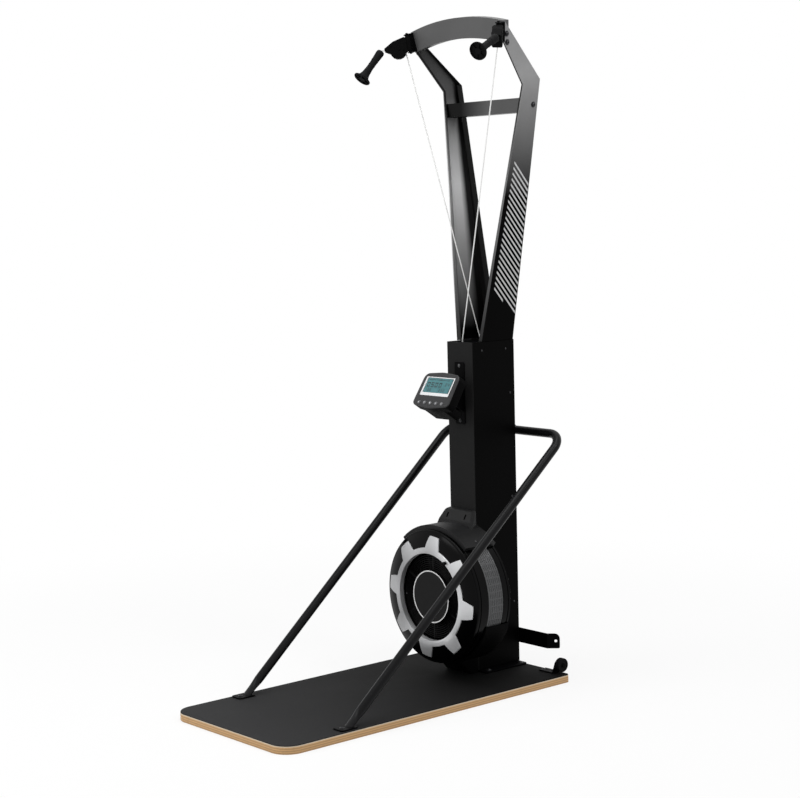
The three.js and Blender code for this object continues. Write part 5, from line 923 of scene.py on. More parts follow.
def screw_tree(material):
    """A domed screw head with a hexagon socket on a washer, on every point."""
    tree = Tree("socket_screws")
    head = tree.given("Head Radius", 7 * MM)
    washer = tree.given("Washer Share", 1.45)
    height = tree.given("Head Height", 4 * MM)
    sink = tree.given("Washer Height", 1.2 * MM)
    flat = tree.node("GeometryNodeMeshCylinder", {
        "Vertices": 24, "Radius": tree.maths("MULTIPLY", head, washer), "Depth": sink})
    flat = tree.shifted(flat, Translation=tree.place(z=tree.maths("MULTIPLY", sink, 0.5)))
    ball = tree.node("GeometryNodeMeshUVSphere", {"Segments": 20, "Rings": 10, "Radius": head})
    dome = tree.shifted(ball, Translation=tree.place(z=sink),
                        Scale=tree.place(1.0, 1.0, tree.maths("DIVIDE", height, head)))
    key = tree.node("GeometryNodeMeshCylinder", {
        "Vertices": 6, "Radius": tree.maths("MULTIPLY", head, 0.48), "Depth": height})
    key = tree.shifted(key, Translation=tree.place(z=tree.maths("ADD", height, sink)))
    hollow = tree.node("GeometryNodeMeshBoolean", {"Mesh 1": dome, "Mesh 2": key}, operation="DIFFERENCE")
    facing = tree.node("GeometryNodeInputNamedAttribute", {"Name": "facing"}, data_type="FLOAT_VECTOR")
    turn = tree.node("FunctionNodeAlignRotationToVector", {"Vector": facing}, axis="Z")
    dots = tree.node("GeometryNodeMeshToPoints", {"Mesh": tree.source.outputs[0]})
    tree.end(tree.copies(dots, tree.join(flat, hollow), Rotation=turn), material)
    return tree


def screws(name, places, radius, material="black_steel", height_share=0.5, washer=1.45, body="stand"):
    """A set of screw heads on one body. radius is in metres."""
    mesh = grown(name, screw_tree(material), {
        "Head Radius": radius, "Head Height": radius * height_share, "Washer Share": washer,
        "Washer Height": radius * 0.16}, points_mesh(name + "_points", places))
    return piece(name, mesh, None, body, angle=35)


# Places

def turned_about(axis, angle):
    return Matrix.Rotation(angle, 4, axis)


def head_frame(side):
    lean = Matrix.Translation((0, HEAD_Y, HEAD_Z)) @ turned_about("X", HEAD_LEAN)
    hinge = Matrix.Translation((side * PULLEY_X, -HINGE_FORWARD, 0))
    return lean @ hinge @ turned_about("Y", side * HEAD_ROLL)


def swivel_frame(side):
    return head_frame(side) @ turned_about("Z", side * SWIVEL_REST)


def handle_top(side):
    """The middle of a handle's upper end, a little ahead of the pulley housing's nose."""
    return swivel_frame(side) @ Vector((0, -NOSE_FORWARD - HANDLE_GAP, -NOSE_DROP))


CONSOLE = Matrix.Translation((0, CONSOLE_Y, CONSOLE_Z)) @ turned_about("X", CONSOLE_TILT)


def web_x(z):
    return WEB_FOOT_X + (z - COLUMN_TOP) * math.tan(WEB_LEAN)


def bent(corners, radius, steps=10):
    """Points along straight runs, with each inner corner rounded."""
    points = [corners[0]]
    for before, here, after in zip(corners, corners[1:], corners[2:]):
        along, onward = (here - before).normalized(), (after - here).normalized()
        turn = along.angle(onward)
        inward = (onward - along * math.cos(turn)).normalized()
        start = here - along * radius * math.tan(turn / 2)
        for k in range(steps + 1):
            part = turn * k / steps
            points.append(start + along * radius * math.sin(part) + inward * radius * (1 - math.cos(part)))
    return points + [corners[-1]]


# Platform and column

class MakePlatform(bpy.types.Operator):
    """Builds the plywood board and its pebbled mat"""

    bl_idname = "ski_ergometer.platform"
    bl_label = "Platform"

    def execute(self, context):
        def deck(margin=0.0):
            w, l = DECK_HALF_WIDTH - margin, DECK_HALF_LENGTH - margin
            return rounded([(-w, -l, FRONT_CORNER - margin), (w, -l, FRONT_CORNER - margin),
                            (w, l, REAR_CORNER - margin), (-w, l, REAR_CORNER - margin)], 20)

        board = Form().slab(deck(), 0, BOARD_TOP, edge=1.5, steps=3)
        instead("plywood_board", board, "plywood", "platform_board")
        mat = Form().slab(deck(0.8), BOARD_TOP, DECK_TOP, edge=1.0, steps=3)
        instead("pebbled_mat", mat, "mat", "platform_mat")
        return {"FINISHED"}


class MakeColumn(bpy.types.Operator):
    """Finishes the folded column, its plates and its screws"""

    bl_idname = "ski_ergometer.column"
    bl_label = "Column"

    def execute(self, context):
        sizes = context.scene.ergometer_sizes
        fold, radius = sizes.fold_radius, sizes.screw_radius
        dressed("column_shell", "column_paint", fold)
        for node, width in (("column_rear_cover", fold), ("column_base_plate", fold),
                            ("column_top_plate", fold / 3)):
            dressed(node, "black_paint", width)
        rivets = [((side * COLUMN_HALF, y, COLUMN_TOP - 30), (side, 0, 0))
                  for side in (-1, 1) for y in (COLUMN_FRONT + 45, COLUMN_REAR - 40)]
        rivets += [((side * COLUMN_HALF, COLUMN_REAR - 22, z), (side, 0, 0))
                   for side in (-1, 1) for z in (250, 620, 980)]
        screws("column_rivets", rivets, radius * 0.5, washer=1.1)
        rear = [((side * (COLUMN_HALF - 11), COLUMN_REAR, z), (0, 1, 0))
                for side in (-1, 1) for z in (80, 400, 720, 1120)]
        screws("rear_cover_screws", rear, radius * 0.6, washer=1.25)
        plate_top = DECK_TOP + 6.3
        base = [((side * 82, y, plate_top), (0, 0, 1)) for side in (-1, 1) for y in (COLUMN_FRONT + 30, 586)]
        screws("base_plate_screws", base, radius)
        return {"FINISHED"}


class MakeUprights(bpy.types.Operator):
    """Finishes the two uprights with their stripes, the crossbar and the arch"""

    bl_idname = "ski_ergometer.uprights"
    bl_label = "Uprights"

    def execute(self, context):
        sizes = context.scene.ergometer_sizes
        for node in ("left_upright", "right_upright"):
            dressed(node, "upright_paint", sizes.fold_radius, limit=12, angle=20)
        dressed("crossbar", "crossbar_paint", sizes.fold_radius)
        dressed("arch", "grey_paint", sizes.fold_radius, angle=40, limit=40)
        for side, name in SIDES:
            self.stripes(sizes, side, name)
        screw = sizes.screw_radius
        places = []
        for side in (-1, 1):
            outward = (side * math.cos(WEB_LEAN), 0, -math.sin(WEB_LEAN))
            places += [((side * web_x(z), y, z), outward) for y, z in ((439, 2177), (445, 2150), (590, 1953))]
        screws("upright_screws", places, screw * 0.95, height_share=0.95)
        return {"FINISHED"}

    def stripes(self, sizes, side, name):
        """Slanted stripes between the front and rear edge of an upright, thin as paint."""
        first, front_margin, rear_margin, thickness, lift, last_share = 2290, 15, 3, 0.15, 0.05, 0.42
        pitch = sizes.stripe_pitch / MM
        half = pitch * sizes.stripe_share / 2
        form = Form()
        for index in range(sizes.stripe_count):
            corners = []
            for shift in (-half, half):
                total = first - pitch * index + shift
                front_z = self.crossing(total, WEB_FOOT_FRONT + front_margin, FRONT_SLOPE)
                rear_z = self.crossing(total, WEB_FOOT_REAR - rear_margin, REAR_SLOPE)
                if index == sizes.stripe_count - 1:
                    rear_z = front_z - last_share * (front_z - rear_z)
                corners.append(((total - front_z, front_z), (total - rear_z, rear_z)))
            flat = [corners[0][0], corners[0][1], corners[1][1], corners[1][0]]
            form.skin([[Vector((side * (web_x(z) + out), y, z)) for y, z in flat]
                       for out in (lift, lift + thickness)])
        piece(name + "_stripes", form, "stripe_paint", "stand")

    def crossing(self, total, foot, slope):
        """The height where y + z = total meets a web edge y = foot + slope * (z - column top)."""
        return (total - foot + slope * COLUMN_TOP) / (1 + slope)


# Pulley heads, cords and handles

class MakePulleyHeads(bpy.types.Operator):
    """Builds the swivelling pulley housings, their wheels and brackets"""

    bl_idname = "ski_ergometer.pulley_heads"
    bl_label = "Pulley Heads"

    def execute(self, context):
        sizes = context.scene.ergometer_sizes
        for side, name in SIDES:
            dressed(name + "_pulley_bracket", "black_paint", sizes.fold_radius / 2)
            dressed(name + "_pulley_case", "case_black", sizes.plastic_radius / 3,
                    segments=3, angle=35, limit=25)
            self.wheel(side, name)
            self.case_screws(side, name, sizes.screw_radius)
        return {"FINISHED"}

    def wheel(self, side, name):
        half, root = PULLEY_WIDTH / 2, PULLEY_RADIUS - PULLEY_GROOVE - 0.3
        hole, hub = 5.3, 10
        groove = [(root + (PULLEY_RADIUS - 0.8 - root) * (1 - math.sin(a)), -math.cos(a) * (half - 1.6))
                  for a in (math.pi * k / 12 for k in range(13))]
        profile = [(hole, -half), (hub, -half), (hub + 1, -half + 1.5), (PULLEY_RADIUS - 5, -half + 1.5),
                   (PULLEY_RADIUS - 4, -half), (PULLEY_RADIUS - 0.6, -half), (PULLEY_RADIUS, -half + 0.6)]
        profile += groove
        profile += [(r, -y) for r, y in reversed(profile[:7])]
        place = swivel_frame(side) @ Matrix.Translation((0, -PULLEY_FORWARD, -PULLEY_DROP))
        form = Form().lathe(profile, 64).moved(place @ turned_about("Z", math.pi / 2))
        instead(name + "_grooved_wheel", form, "matt_black", name + "_pulley_wheel")

    def case_screws(self, side, name, radius):
        half_width = 17
        place = swivel_frame(side)
        turn = place.to_3x3()
        spots = [(-22, 18), (-22, -19), (-62, 4), (-56, -32), (-36, -15)]
        places = [(place @ Vector((face * half_width, y, z)), turn @ Vector((face, 0, 0)))
                  for face in (-1, 1) for y, z in spots]
        screws(name + "_case_screws", places, radius * 0.42, "case_black", washer=1.05,
               body=body_of(name + "_pulley_case"))


class MakeHandles(bpy.types.Operator):
    """Builds the two ski-pole handles"""

    bl_idname = "ski_ergometer.handles"
    bl_label = "Handles"

    def execute(self, context):
        for side, name in SIDES:
            way = Vector(HANDLE_WAY[name]).normalized()
            turn = Vector((0, 1, 0)).rotation_difference(way).to_matrix().to_4x4()
            place = Matrix.Translation(handle_top(side)) @ turn
            form = Form().lathe(self.profile(), 64)
            for along in (22, 42, 62):
                form.lathe(self.grip_rib(along), 48)
            form.moved(place)
            for k in range(6):
                self.rib_of_disc(form, place @ turned_about("Y", TURN * k / 6))
            instead(name + "_grip", form, "rubber", name + "_handle", angle=40)
        return {"FINISHED"}

    def profile(self):
        """Radius against length: a rounded top, a waist, and a neck that flares into the hand stop."""
        neck, neck_starts, flare, stop = 13, 88, 34, 30.4
        spots = [(0, 0), (8, 0.4), (12, 2.2), (13.8, 6), (14, 12), (13.4, 24), (12.2, 40), (11.5, 56),
                 (11.5, 70), (11.9, 80), (neck, neck_starts)]
        for k in range(1, 13):
            a = math.pi / 2 * k / 12
            spots.append((stop - (stop - neck) * math.cos(a), neck_starts + flare * math.sin(a)))
        spots += [(stop, 124.5), (29.2, 126), (27.2, 126), (26.2, 125.2), (26, 121), (11, 121), (10.6, 124.6),
                  (10, 125.4), (0, 125.4)]
        return spots

    def rib_of_disc(self, form, spoke):
        """A rib that stands in the hollow of the hand stop, from its boss out to its rim."""
        form.block(9.5, 26.6, 120, 125.2, -1.1, 1.1, spoke, 0.3)

    def grip_rib(self, along):
        """A low ring round the grip."""
        waist = 13.6 - 0.035 * along
        return [(waist + 0.7 * math.cos(a), along + 2.2 * math.sin(a)) for a in
                (TURN * k / 10 for k in range(10))]


class MakeCords(bpy.types.Operator):
    """Builds the white cords, from the drums up to the pulleys and out to the handles"""

    bl_idname = "ski_ergometer.cords"
    bl_label = "Cords"

    def execute(self, context):
        for side, name in SIDES:
            place = swivel_frame(side)
            way = Vector(HANDLE_WAY[name]).normalized()
            top = place @ Vector((0, -CORD_FORWARD, -CORD_TOP_DROP))
            eye = Vector((-CORD_DRUM_X, DRUM_Y[name], COLUMN_TOP - 3))
            drum = Vector((-CORD_DRUM_X, DRUM_Y[name], SHAFT_Z))
            form = Form().sweep(bent([top, eye, drum], CORD_BEND, 8), CORD_RADIUS, CORD_SIDES)
            instead(name + "_white_cord", form, "cord", name + "_cord")
            centre = Vector((0, -PULLEY_FORWARD, -PULLEY_DROP))
            nose = Vector((0, -NOSE_FORWARD, -NOSE_DROP))
            reach = nose - centre
            pitch = PULLEY_FORWARD - CORD_FORWARD
            leave = math.atan2(reach.z, -reach.y) + math.acos(pitch / reach.length)
            lead = [Vector((0, -CORD_FORWARD, 0.3 - CORD_TOP_DROP))]
            for k in range(25):
                a = math.pi + (leave - math.pi) * k / 24
                lead.append(centre + Vector((0, -pitch * math.cos(a), pitch * math.sin(a))))
            lead = [place @ p for p in lead + [nose]]
            lead += [handle_top(side) - way * CORD_STUB, handle_top(side) - way * FIT]
            form = Form().sweep(lead, CORD_RADIUS, CORD_SIDES)
            instead(name + "_white_lead", form, "cord", name + "_cord_lead")
        return {"FINISHED"}


# Flywheel housing

def dome_y(radius):
    share = (radius - INLET_RADIUS) / (HOUSING_RADIUS - DOME_SHOULDER - INLET_RADIUS)
    return DOME_FRONT + DOME_DROP * share ** 2


def arc_points(centre_r, centre_y, radius, start, end, steps):
    """Points of an arc in a turned profile, as (radius, y)."""
    return [(centre_r + radius * math.cos(a), centre_y + radius * math.sin(a))
            for a in (math.radians(start + (end - start) * k / steps) for k in range(steps + 1))]


class MakeHousing(bpy.types.Operator):
    """Builds the domed front, the slotted outlet band, the rear housing, the base and the shroud"""

    bl_idname = "ski_ergometer.housing"
    bl_label = "Flywheel Housing"

    def execute(self, context):
        sizes = context.scene.ergometer_sizes
        outer, shoulder = HOUSING_RADIUS, HOUSING_RADIUS - DOME_SHOULDER
        radii = [INLET_RADIUS + (shoulder - INLET_RADIUS) * k / 14 for k in range(15)]
        dome = [(r, dome_y(r)) for r in radii]
        edge = arc_points(shoulder, dome_y(shoulder) + DOME_SHOULDER, DOME_SHOULDER, -80, 0, 6)
        seam = [(outer, 268), (outer - 2, 269), (outer - 2, 272.4), (outer, 273.4)]
        seat = dome_y(SEAT_RADIUS) + WALL
        profile = dome + edge + seam + [
            (outer, 304.7), (outer - 1, 305.7), (outer - WALL, 305.7), (outer - WALL, dome_y(shoulder) + 7),
            (175, seat), (INLET_RADIUS, seat)]
        turned("domed_front", profile, "gloss_black", "front_housing", 160, AXLE, 28)
        back, hole, boss = 405.7, 11.5, 20.3
        profile = [(hole, back), (outer - 1.2, back), (outer, back - 1.2), (outer, 397), (outer - 2, 396),
                   (outer - 2, 391), (outer, 390), (outer, 373.3), (outer - 1, 372.3), (outer - WALL, 372.3),
                   (outer - WALL, back - WALL), (28, back - WALL), (28, 388), (boss, 388),
                   (boss, back - WALL), (hole, back - WALL)]
        turned("rear_drum_cover", profile, "gloss_black", "rear_housing", 160, AXLE, 28)
        self.band(sizes)
        self.base()
        dressed("neck_shroud", "shroud_black", sizes.plastic_radius / 2, 3, 34, 34)
        turn = math.radians(36)
        places = [((side * math.sin(turn) * SKIRT_RADIUS, 330, AXLE_Z + math.cos(turn) * SKIRT_RADIUS),
                   (side * math.sin(turn), 0, math.cos(turn))) for side in (-1, 1)]
        screws("skirt_screws", places, sizes.screw_radius * 0.5, "band_metal", washer=1.1)
        return {"FINISHED"}

    def base(self):
        """The base: a cover that follows the lower half of the drum, on a foot in front of the column."""
        high, front, rear, half_width, thickness = 226.8, 300, 405.4, 217.2, 7
        foot_front, foot_high, foot_low, foot_half_width, sole = 332, 96, 70, 62, DECK_TOP + FIT
        outline = [Vector((-half_width, high)), Vector((half_width, high))]
        for x, z in arc_points(0, AXLE_Z, HOUSING_RADIUS + thickness, -24, -156, 32):
            outline.append(Vector((min(half_width, max(-half_width, x)), z)))
        cover = Form().slab(outline, front, rear, Y_BASIS, 2, 3)
        side = [(foot_front, foot_high), (foot_front, foot_low), (372, sole), (rear, sole), (rear, foot_high)]
        foot = Form().slab([Vector(p) for p in side], -foot_half_width, foot_half_width, X_BASIS, 1.5, 2)
        bore = HOUSING_RADIUS + FIT
        drum = Form().lathe([(0, 262), (bore, 262), (bore, 415), (0, 415)], 128, AXLE)
        mesh = carved(cover, [drum], [foot])
        instead("narrow_base", mesh, "deep_black", "housing_base", angle=30)

    def band(self, sizes):
        """A metal band made of cells that each hold one slot."""
        rows, count = sizes.slot_rows, sizes.slots_round
        rim, radius, bridge = 4.0, HOUSING_RADIUS - 0.5, 4.0
        pitch_y = (BAND_REAR - BAND_FRONT - 2 * rim) / rows
        pitch_x = TURN * radius / count
        slot_x, slot_y = (pitch_x - bridge) / 2, min(1.3, pitch_y * 0.3) / 2
        cell = bmesh.new()
        hole = rectangle(-slot_x, slot_x, -slot_y, slot_y, 2 * slot_y * 0.49, 2)
        half_x, half_y = pitch_x / 2, pitch_y / 2
        inner, outer = [], []
        for p in hole:
            inner.append(cell.verts.new((p.x, p.y, 0)))
            outer.append(cell.verts.new((p.x, half_y if p.y > 0 else -half_y, 0)))
        side = {}
        for sx in (-1, 1):
            for sy in (-1, 1):
                side[sx, sy] = cell.verts.new((sx * half_x, sy * half_y, 0))
        for k in range(len(hole)):
            n = (k + 1) % len(hole)
            if (hole[k].y > 0) == (hole[n].y > 0):
                cell.faces.new((outer[k], outer[n], inner[n], inner[k]))
            else:
                sx = 1 if hole[k].x > 0 else -1
                low, high = (k, n) if hole[k].y < 0 else (n, k)
                cell.faces.new([outer[low], side[sx, -1], side[sx, 1], outer[high], inner[high], inner[low]])
        bmesh.ops.scale(cell, vec=(MM, MM, MM), verts=cell.verts)
        seed = bpy.data.meshes.new("band_cell")
        cell.to_mesh(seed)
        cell.free()

        tree = Tree("slotted_band")
        around = tree.given("Slots Round", 60, "NodeSocketInt")
        down = tree.given("Rows", 7, "NodeSocketInt")
        row_pitch = tree.given("Row Pitch", 8 * MM)
        column_pitch = tree.given("Slot Pitch", 24 * MM)
        line = tree.row(around, tree.place(x=column_pitch))
        stack = tree.row(down, tree.place(y=row_pitch))
        tree.end(tree.copies(stack, tree.copies(line, tree.source.outputs[0])), "band_metal")
        mesh = grown("slotted_band_sheet", tree, {
            "Slots Round": count, "Rows": rows, "Row Pitch": pitch_y * MM, "Slot Pitch": pitch_x * MM}, seed)

        # The flat sheet is rolled into a drum, and its rims are added
        form = bmesh.new()
        form.from_mesh(mesh)
        tidy_limit = 0.05 * MM
        first = BAND_FRONT + rim + pitch_y / 2
        rolled = []
        for vertex in form.verts:
            angle = vertex.co.x / (radius * MM)
            y = first * MM + vertex.co.y
            rolled.append((vertex, Vector((radius * MM * math.sin(angle), y,
                                           AXLE_Z * MM + radius * MM * math.cos(angle)))))
        for vertex, place in rolled:
            vertex.co = place
        bmesh.ops.remove_doubles(form, verts=form.verts, dist=tidy_limit)
        for edge_y, to_y in ((BAND_FRONT + rim, BAND_FRONT), (BAND_REAR - rim, BAND_REAR)):
            rim_edges = [e for e in form.edges if e.is_boundary
                         and all(abs(v.co.y - edge_y * MM) < tidy_limit for v in e.verts)]
            grown_rim = bmesh.ops.extrude_edge_only(form, edges=rim_edges)
            for v in [g for g in grown_rim["geom"] if isinstance(g, bmesh.types.BMVert)]:
                v.co.y = to_y * MM
        bmesh.ops.recalc_face_normals(form, faces=form.faces)
        outward = sum((f.normal.dot(Vector((f.calc_center_median().x, 0,
                                            f.calc_center_median().z - AXLE_Z * MM))) for f in form.faces))
        if outward < 0:
            bmesh.ops.reverse_faces(form, faces=form.faces)
        form.to_mesh(mesh)
        form.free()
        outside, inside = HOUSING_RADIUS - 2.2, HOUSING_RADIUS - 2.9
        gauze = [(inside, BAND_FRONT + 0.6), (outside, BAND_FRONT + 0.6), (outside, BAND_REAR - 0.6),
                 (inside, BAND_REAR - 0.6)]
        piece("band_gauze", Form().lathe(gauze, 128, AXLE), "dark_gauze", "stand")
        band = instead("slotted_band", mesh, "band_metal", "outlet_band", angle=30)
        wall = band.modifiers.new("wall", "SOLIDIFY")
        wall.thickness = 1.2 * MM
        wall.offset = -1


class MakeInlet(bpy.types.Operator):
    """Builds the toothed ring, the ringed inlet grille and the hub cap"""

    bl_idname = "ski_ergometer.inlet"
    bl_label = "Inlet"

    def execute(self, context):
        self.toothed_ring()
        self.grille(context.scene.ergometer_sizes)
        self.hub_cap()
        return {"FINISHED"}

    def toothed_ring(self):
        """A dished ring whose rim steps out into teeth, with a folded inner lip and a peg."""
        steps = 240
        pitch = TURN / RING_TEETH

        def rim(angle):
            """The outer radius at an angle: on a tooth, on its flank, or in a gap."""
            turn = (angle - RING_PHASE + pitch / 2) % pitch - pitch / 2
            away = abs(turn)
            tip, base = TOOTH_TIP / 2, TOOTH_BASE / 2
            if away <= tip:
                return RING_TOOTH
            if away >= base:
                return RING_BODY
            return RING_TOOTH + (RING_BODY - RING_TOOTH) * (away - tip) / (base - tip)

        flanks = {(RING_PHASE + i * pitch + s * half) % TURN for i in range(RING_TEETH)
                  for s in (-1, 1) for half in (TOOTH_TIP / 2, TOOTH_BASE / 2)}
        angles = sorted(a for a in {TURN * k / steps for k in range(steps)}
                        if all(abs(a - f) > 0.006 for f in flanks))
        angles = sorted(set(angles) | flanks)
        mouth, lip, lip_depth, chamfer = INLET_RADIUS + 1, INLET_RADIUS - 1, 14, 1.4
        lift = FIT + RING_THICKNESS
        inner_front = DOME_FRONT - lift

        def ring_at(radius_of, y_of):
            points = []
            for angle in angles:
                r = radius_of(angle)
                points.append(Vector((r * math.cos(angle), y_of(r), AXLE_Z + r * math.sin(angle))))
            return points

        def same(value):
            return lambda _: value

        def back(radius):
            return dome_y(radius) - FIT

        def front(radius):
            return dome_y(radius) - lift

        def part_way(share):
            return lambda angle: mouth + (rim(angle) - mouth) * share

        # Back face from the inner lip out to the rim, then the front face back in to the mouth
        rows = [ring_at(same(lip), same(DOME_FRONT + lip_depth)),
                ring_at(same(lip), same(DOME_FRONT - FIT)),
                ring_at(same(mouth), back)]
        rows += [ring_at(part_way(share), back) for share in (0.33, 0.66, 1.0)]
        rows += [ring_at(rim, lambda r: front(r) + chamfer), ring_at(lambda a: rim(a) - chamfer, front)]
        rows += [ring_at(part_way(share), front) for share in (0.66, 0.33)]
        rows += [ring_at(same(RING_INNER + wider), same(y)) for wider, y in (
            (2.2, inner_front), (0.6, inner_front + 0.6), (0, inner_front + 2.2),
            (0, DOME_FRONT + lip_depth))]
        form = Form().skin(rows, closed=True)
        instead("toothed_ring", form, "silver", "damper_ring", angle=24)

        centre = Vector((PEG_CENTRE * math.cos(PEG_TURN), 0, AXLE_Z + PEG_CENTRE * math.sin(PEG_TURN)))
        tip = inner_front - PEG_HEIGHT
        profile = [(0, inner_front + 1), (PEG_RADIUS, inner_front + 1), (PEG_RADIUS, tip + 1.5),
                   (PEG_RADIUS - 0.4, tip + 0.5), (PEG_RADIUS - 1.4, tip), (PEG_RADIUS - 2.2, tip),
                   (PEG_RADIUS - 2.6, tip + 1), (0, tip + 1)]
        peg = Form().lathe(profile, 40, centre)
        piece("ring_peg", peg, "gloss_black", body_of("damper_ring"))

    def grille(self, sizes):
        """The seat, the concentric rings on their spokes, and the hub."""
        seat, outer = dome_y(SEAT_RADIUS) + WALL + FIT, SEAT_RADIUS
        inner, hub_hole = INLET_RADIUS + 2, 20.3
        form = Form().lathe([(inner, seat), (outer, seat), (outer, seat + 2), (inner + 2, seat + 2),
                             (inner + 2, 265), (inner - 5, 265), (inner - 6, 264), (inner - 6, 261.6),
                             (inner - 5.4, 261), (inner, 261)], 120, AXLE)
        form.lathe([(hub_hole, 256.3), (32, 256.3), (32, 274), (hub_hole, 274)], 64, AXLE)

        first_ring, last_ring = 93, 147
        tree = Tree("grille_rings")
        count = tree.given("Rings", 8, "NodeSocketInt")
        first = tree.given("First Radius", first_ring * MM)
        pitch = tree.given("Ring Pitch", 7 * MM)
        thick = tree.given("Ring Thickness", 1.5 * MM)
        spokes = tree.given("Spokes", 6, "NodeSocketInt")
        height = tree.given("Axle Height", AXLE_Z * MM)
        depth_y = tree.given("Ring Y", 263 * MM)
        index = tree.node("GeometryNodeInputIndex")
        radius = tree.maths("ADD", first, tree.maths("MULTIPLY", index, pitch))
        loops = tree.copies(tree.row(count), tree.ring(96, 1.0), Scale=tree.place(radius, radius, radius))
        real = tree.node("GeometryNodeRealizeInstances", {"Geometry": loops})
        rings = tree.node("GeometryNodeCurveToMesh", {
            "Curve": real, "Profile Curve": tree.ring(8, thick), "Fill Caps": False})
        bar = tree.node("GeometryNodeMeshCube", {"Size": (123 * MM, 6 * MM, 2.6 * MM)})
        bar = tree.shifted(bar, Translation=(91.5 * MM, 0, -1.2 * MM))
        spin = tree.maths("MULTIPLY", tree.maths("ADD", tree.node("GeometryNodeInputIndex"), 0.5),
                          tree.maths("DIVIDE", TURN, spokes))
        arms = tree.copies(tree.row(spokes), bar, Rotation=tree.place(z=spin))
        upright = tree.shifted(tree.join(rings, arms), Rotation=(math.pi / 2, 0, 0),
                               Translation=tree.place(0.0, depth_y, height))
        tree.end(upright, "grille_black")
        form.take(grown("grille_rings", tree, {
            "Rings": sizes.grille_rings, "Ring Pitch": (last_ring - first_ring) / sizes.grille_rings * MM}))
        instead("ringed_grille", form, "grille_black", "inlet_grille", angle=40)
        places = []
        for turn, radius in ((62, 138), (68, 132), (-16, 138), (-22, 132), (184, 138), (242, 138)):
            a = math.radians(turn)
            places.append(((radius * math.cos(a), 261.4, AXLE_Z + radius * math.sin(a)), (0, -1, 0)))
        screws("grille_screws", places, sizes.screw_radius * 0.4, "band_metal", washer=1.05)

    def hub_cap(self):
        front, rear, outer = HUB_CAP_FRONT, 260.7, HUB_CAP_RADIUS
        profile = [(0, front + 0.8), (20, front + 0.7), (60, front + 0.3), (84, front), (86.2, front),
                   (86.8, front - 0.9), (88.4, front - 1.2), (89.6, front - 0.8), (outer, front + 0.4),
                   (outer, rear), (outer - WALL, rear), (outer - WALL, front + WALL), (32, front + WALL),
                   (32, front + 6), (0, front + 6)]
        turned("hub_disc", profile, "hub_black", "hub_cap", 128, AXLE)
        ring = [(85.8, front - 0.2), (86.4, front - 1.15), (89.2, front - 1.18), (89.8, front - 0.6),
                (89.2, front + 0.2), (86.4, front + 0.2)]
        piece("hub_ring", Form().lathe(ring, 128, AXLE), "white_print", "stand")


class MakeFlywheel(bpy.types.Operator):
    """Builds the fan, the axle and its bearings"""

    bl_idname = "ski_ergometer.flywheel"
    bl_label = "Flywheel"

    def execute(self, context):
        sizes = context.scene.ergometer_sizes
        plate, hub, bore, blade_width = FAN_REAR - 8, 34, 8.8, 88
        form = Form().lathe([(bore, FAN_FRONT), (hub - 1, FAN_FRONT), (hub, FAN_FRONT + 1), (hub, plate),
                             (FAN_RADIUS, plate), (FAN_RADIUS, FAN_REAR), (bore, FAN_REAR)], 128, AXLE)
        tree = Tree("fan_blades")
        count = tree.given("Blades", 12, "NodeSocketInt")
        thick = tree.given("Blade Thickness", 2.4 * MM)
        inner = tree.given("Inner Radius", 84 * MM)
        outer = tree.given("Outer Radius", 196 * MM)
        width = tree.given("Blade Width", blade_width * MM)
        sweep = tree.given("Sweep", math.radians(8))
        grid = tree.node("GeometryNodeMeshGrid", {
            "Size X": tree.maths("SUBTRACT", outer, inner), "Size Y": width, "Vertices X": 9,
            "Vertices Y": 2})
        along = tree.node("ShaderNodeSeparateXYZ", {0: tree.node("GeometryNodeInputPosition")})
        bow = tree.maths("MULTIPLY", tree.maths("POWER", along, 2.0), 1.6)
        curved = tree.node("GeometryNodeSetPosition", {"Geometry": grid, "Offset": tree.place(z=bow)})
        wall = tree.node("GeometryNodeExtrudeMesh", {
            "Mesh": curved, "Offset Scale": thick, "Individual": False})
        back = tree.node("GeometryNodeFlipFaces", {"Mesh": curved})
        solid = tree.node("GeometryNodeMergeByDistance", {
            "Geometry": tree.join(wall, back), "Distance": 0.01 * MM})
        middle = tree.maths("MULTIPLY", tree.maths("ADD", inner, outer), 0.5)
        out = tree.shifted(solid, Translation=tree.place(x=middle))
        lean = tree.shifted(out, Rotation=tree.place(y=sweep))
        turn = tree.maths("MULTIPLY", tree.node("GeometryNodeInputIndex"), tree.maths("DIVIDE", TURN, count))
        tree.end(tree.copies(tree.row(count), lean, Rotation=tree.place(y=turn)), "dark_fan")
        form.take(grown("fan_blades", tree, {"Blades": sizes.fan_blades}),
                  (0, FAN_FRONT + 4 + blade_width / 2, AXLE_Z))
        instead("bladed_flywheel", form, "dark_fan", "flywheel_fan")

        axle = [(0, 262), (7.7, 262), (8.5, 263), (8.5, 506), (7.7, 507), (0, 507)]
        for name, node, profile in (("turned_axle", "flywheel_axle", axle),
                                    ("front_ball_bearing", "front_bearing", self.bearing(262)),
                                    ("rear_ball_bearing", "rear_bearing", self.bearing(390.4))):
            turned(name, profile, "steel", node, centre=AXLE)
        return {"FINISHED"}

    def bearing(self, y):
        """Inner race, shield and outer race."""
        half = [(8.8, 0), (11.5, 0), (12, 0.9), (16.5, 0.9), (17, 0), (19.4, 0), (20, 0.6)]
        return [(r, y + depth) for r, depth in half] + [(r, y + 12 - depth) for r, depth in reversed(half)]


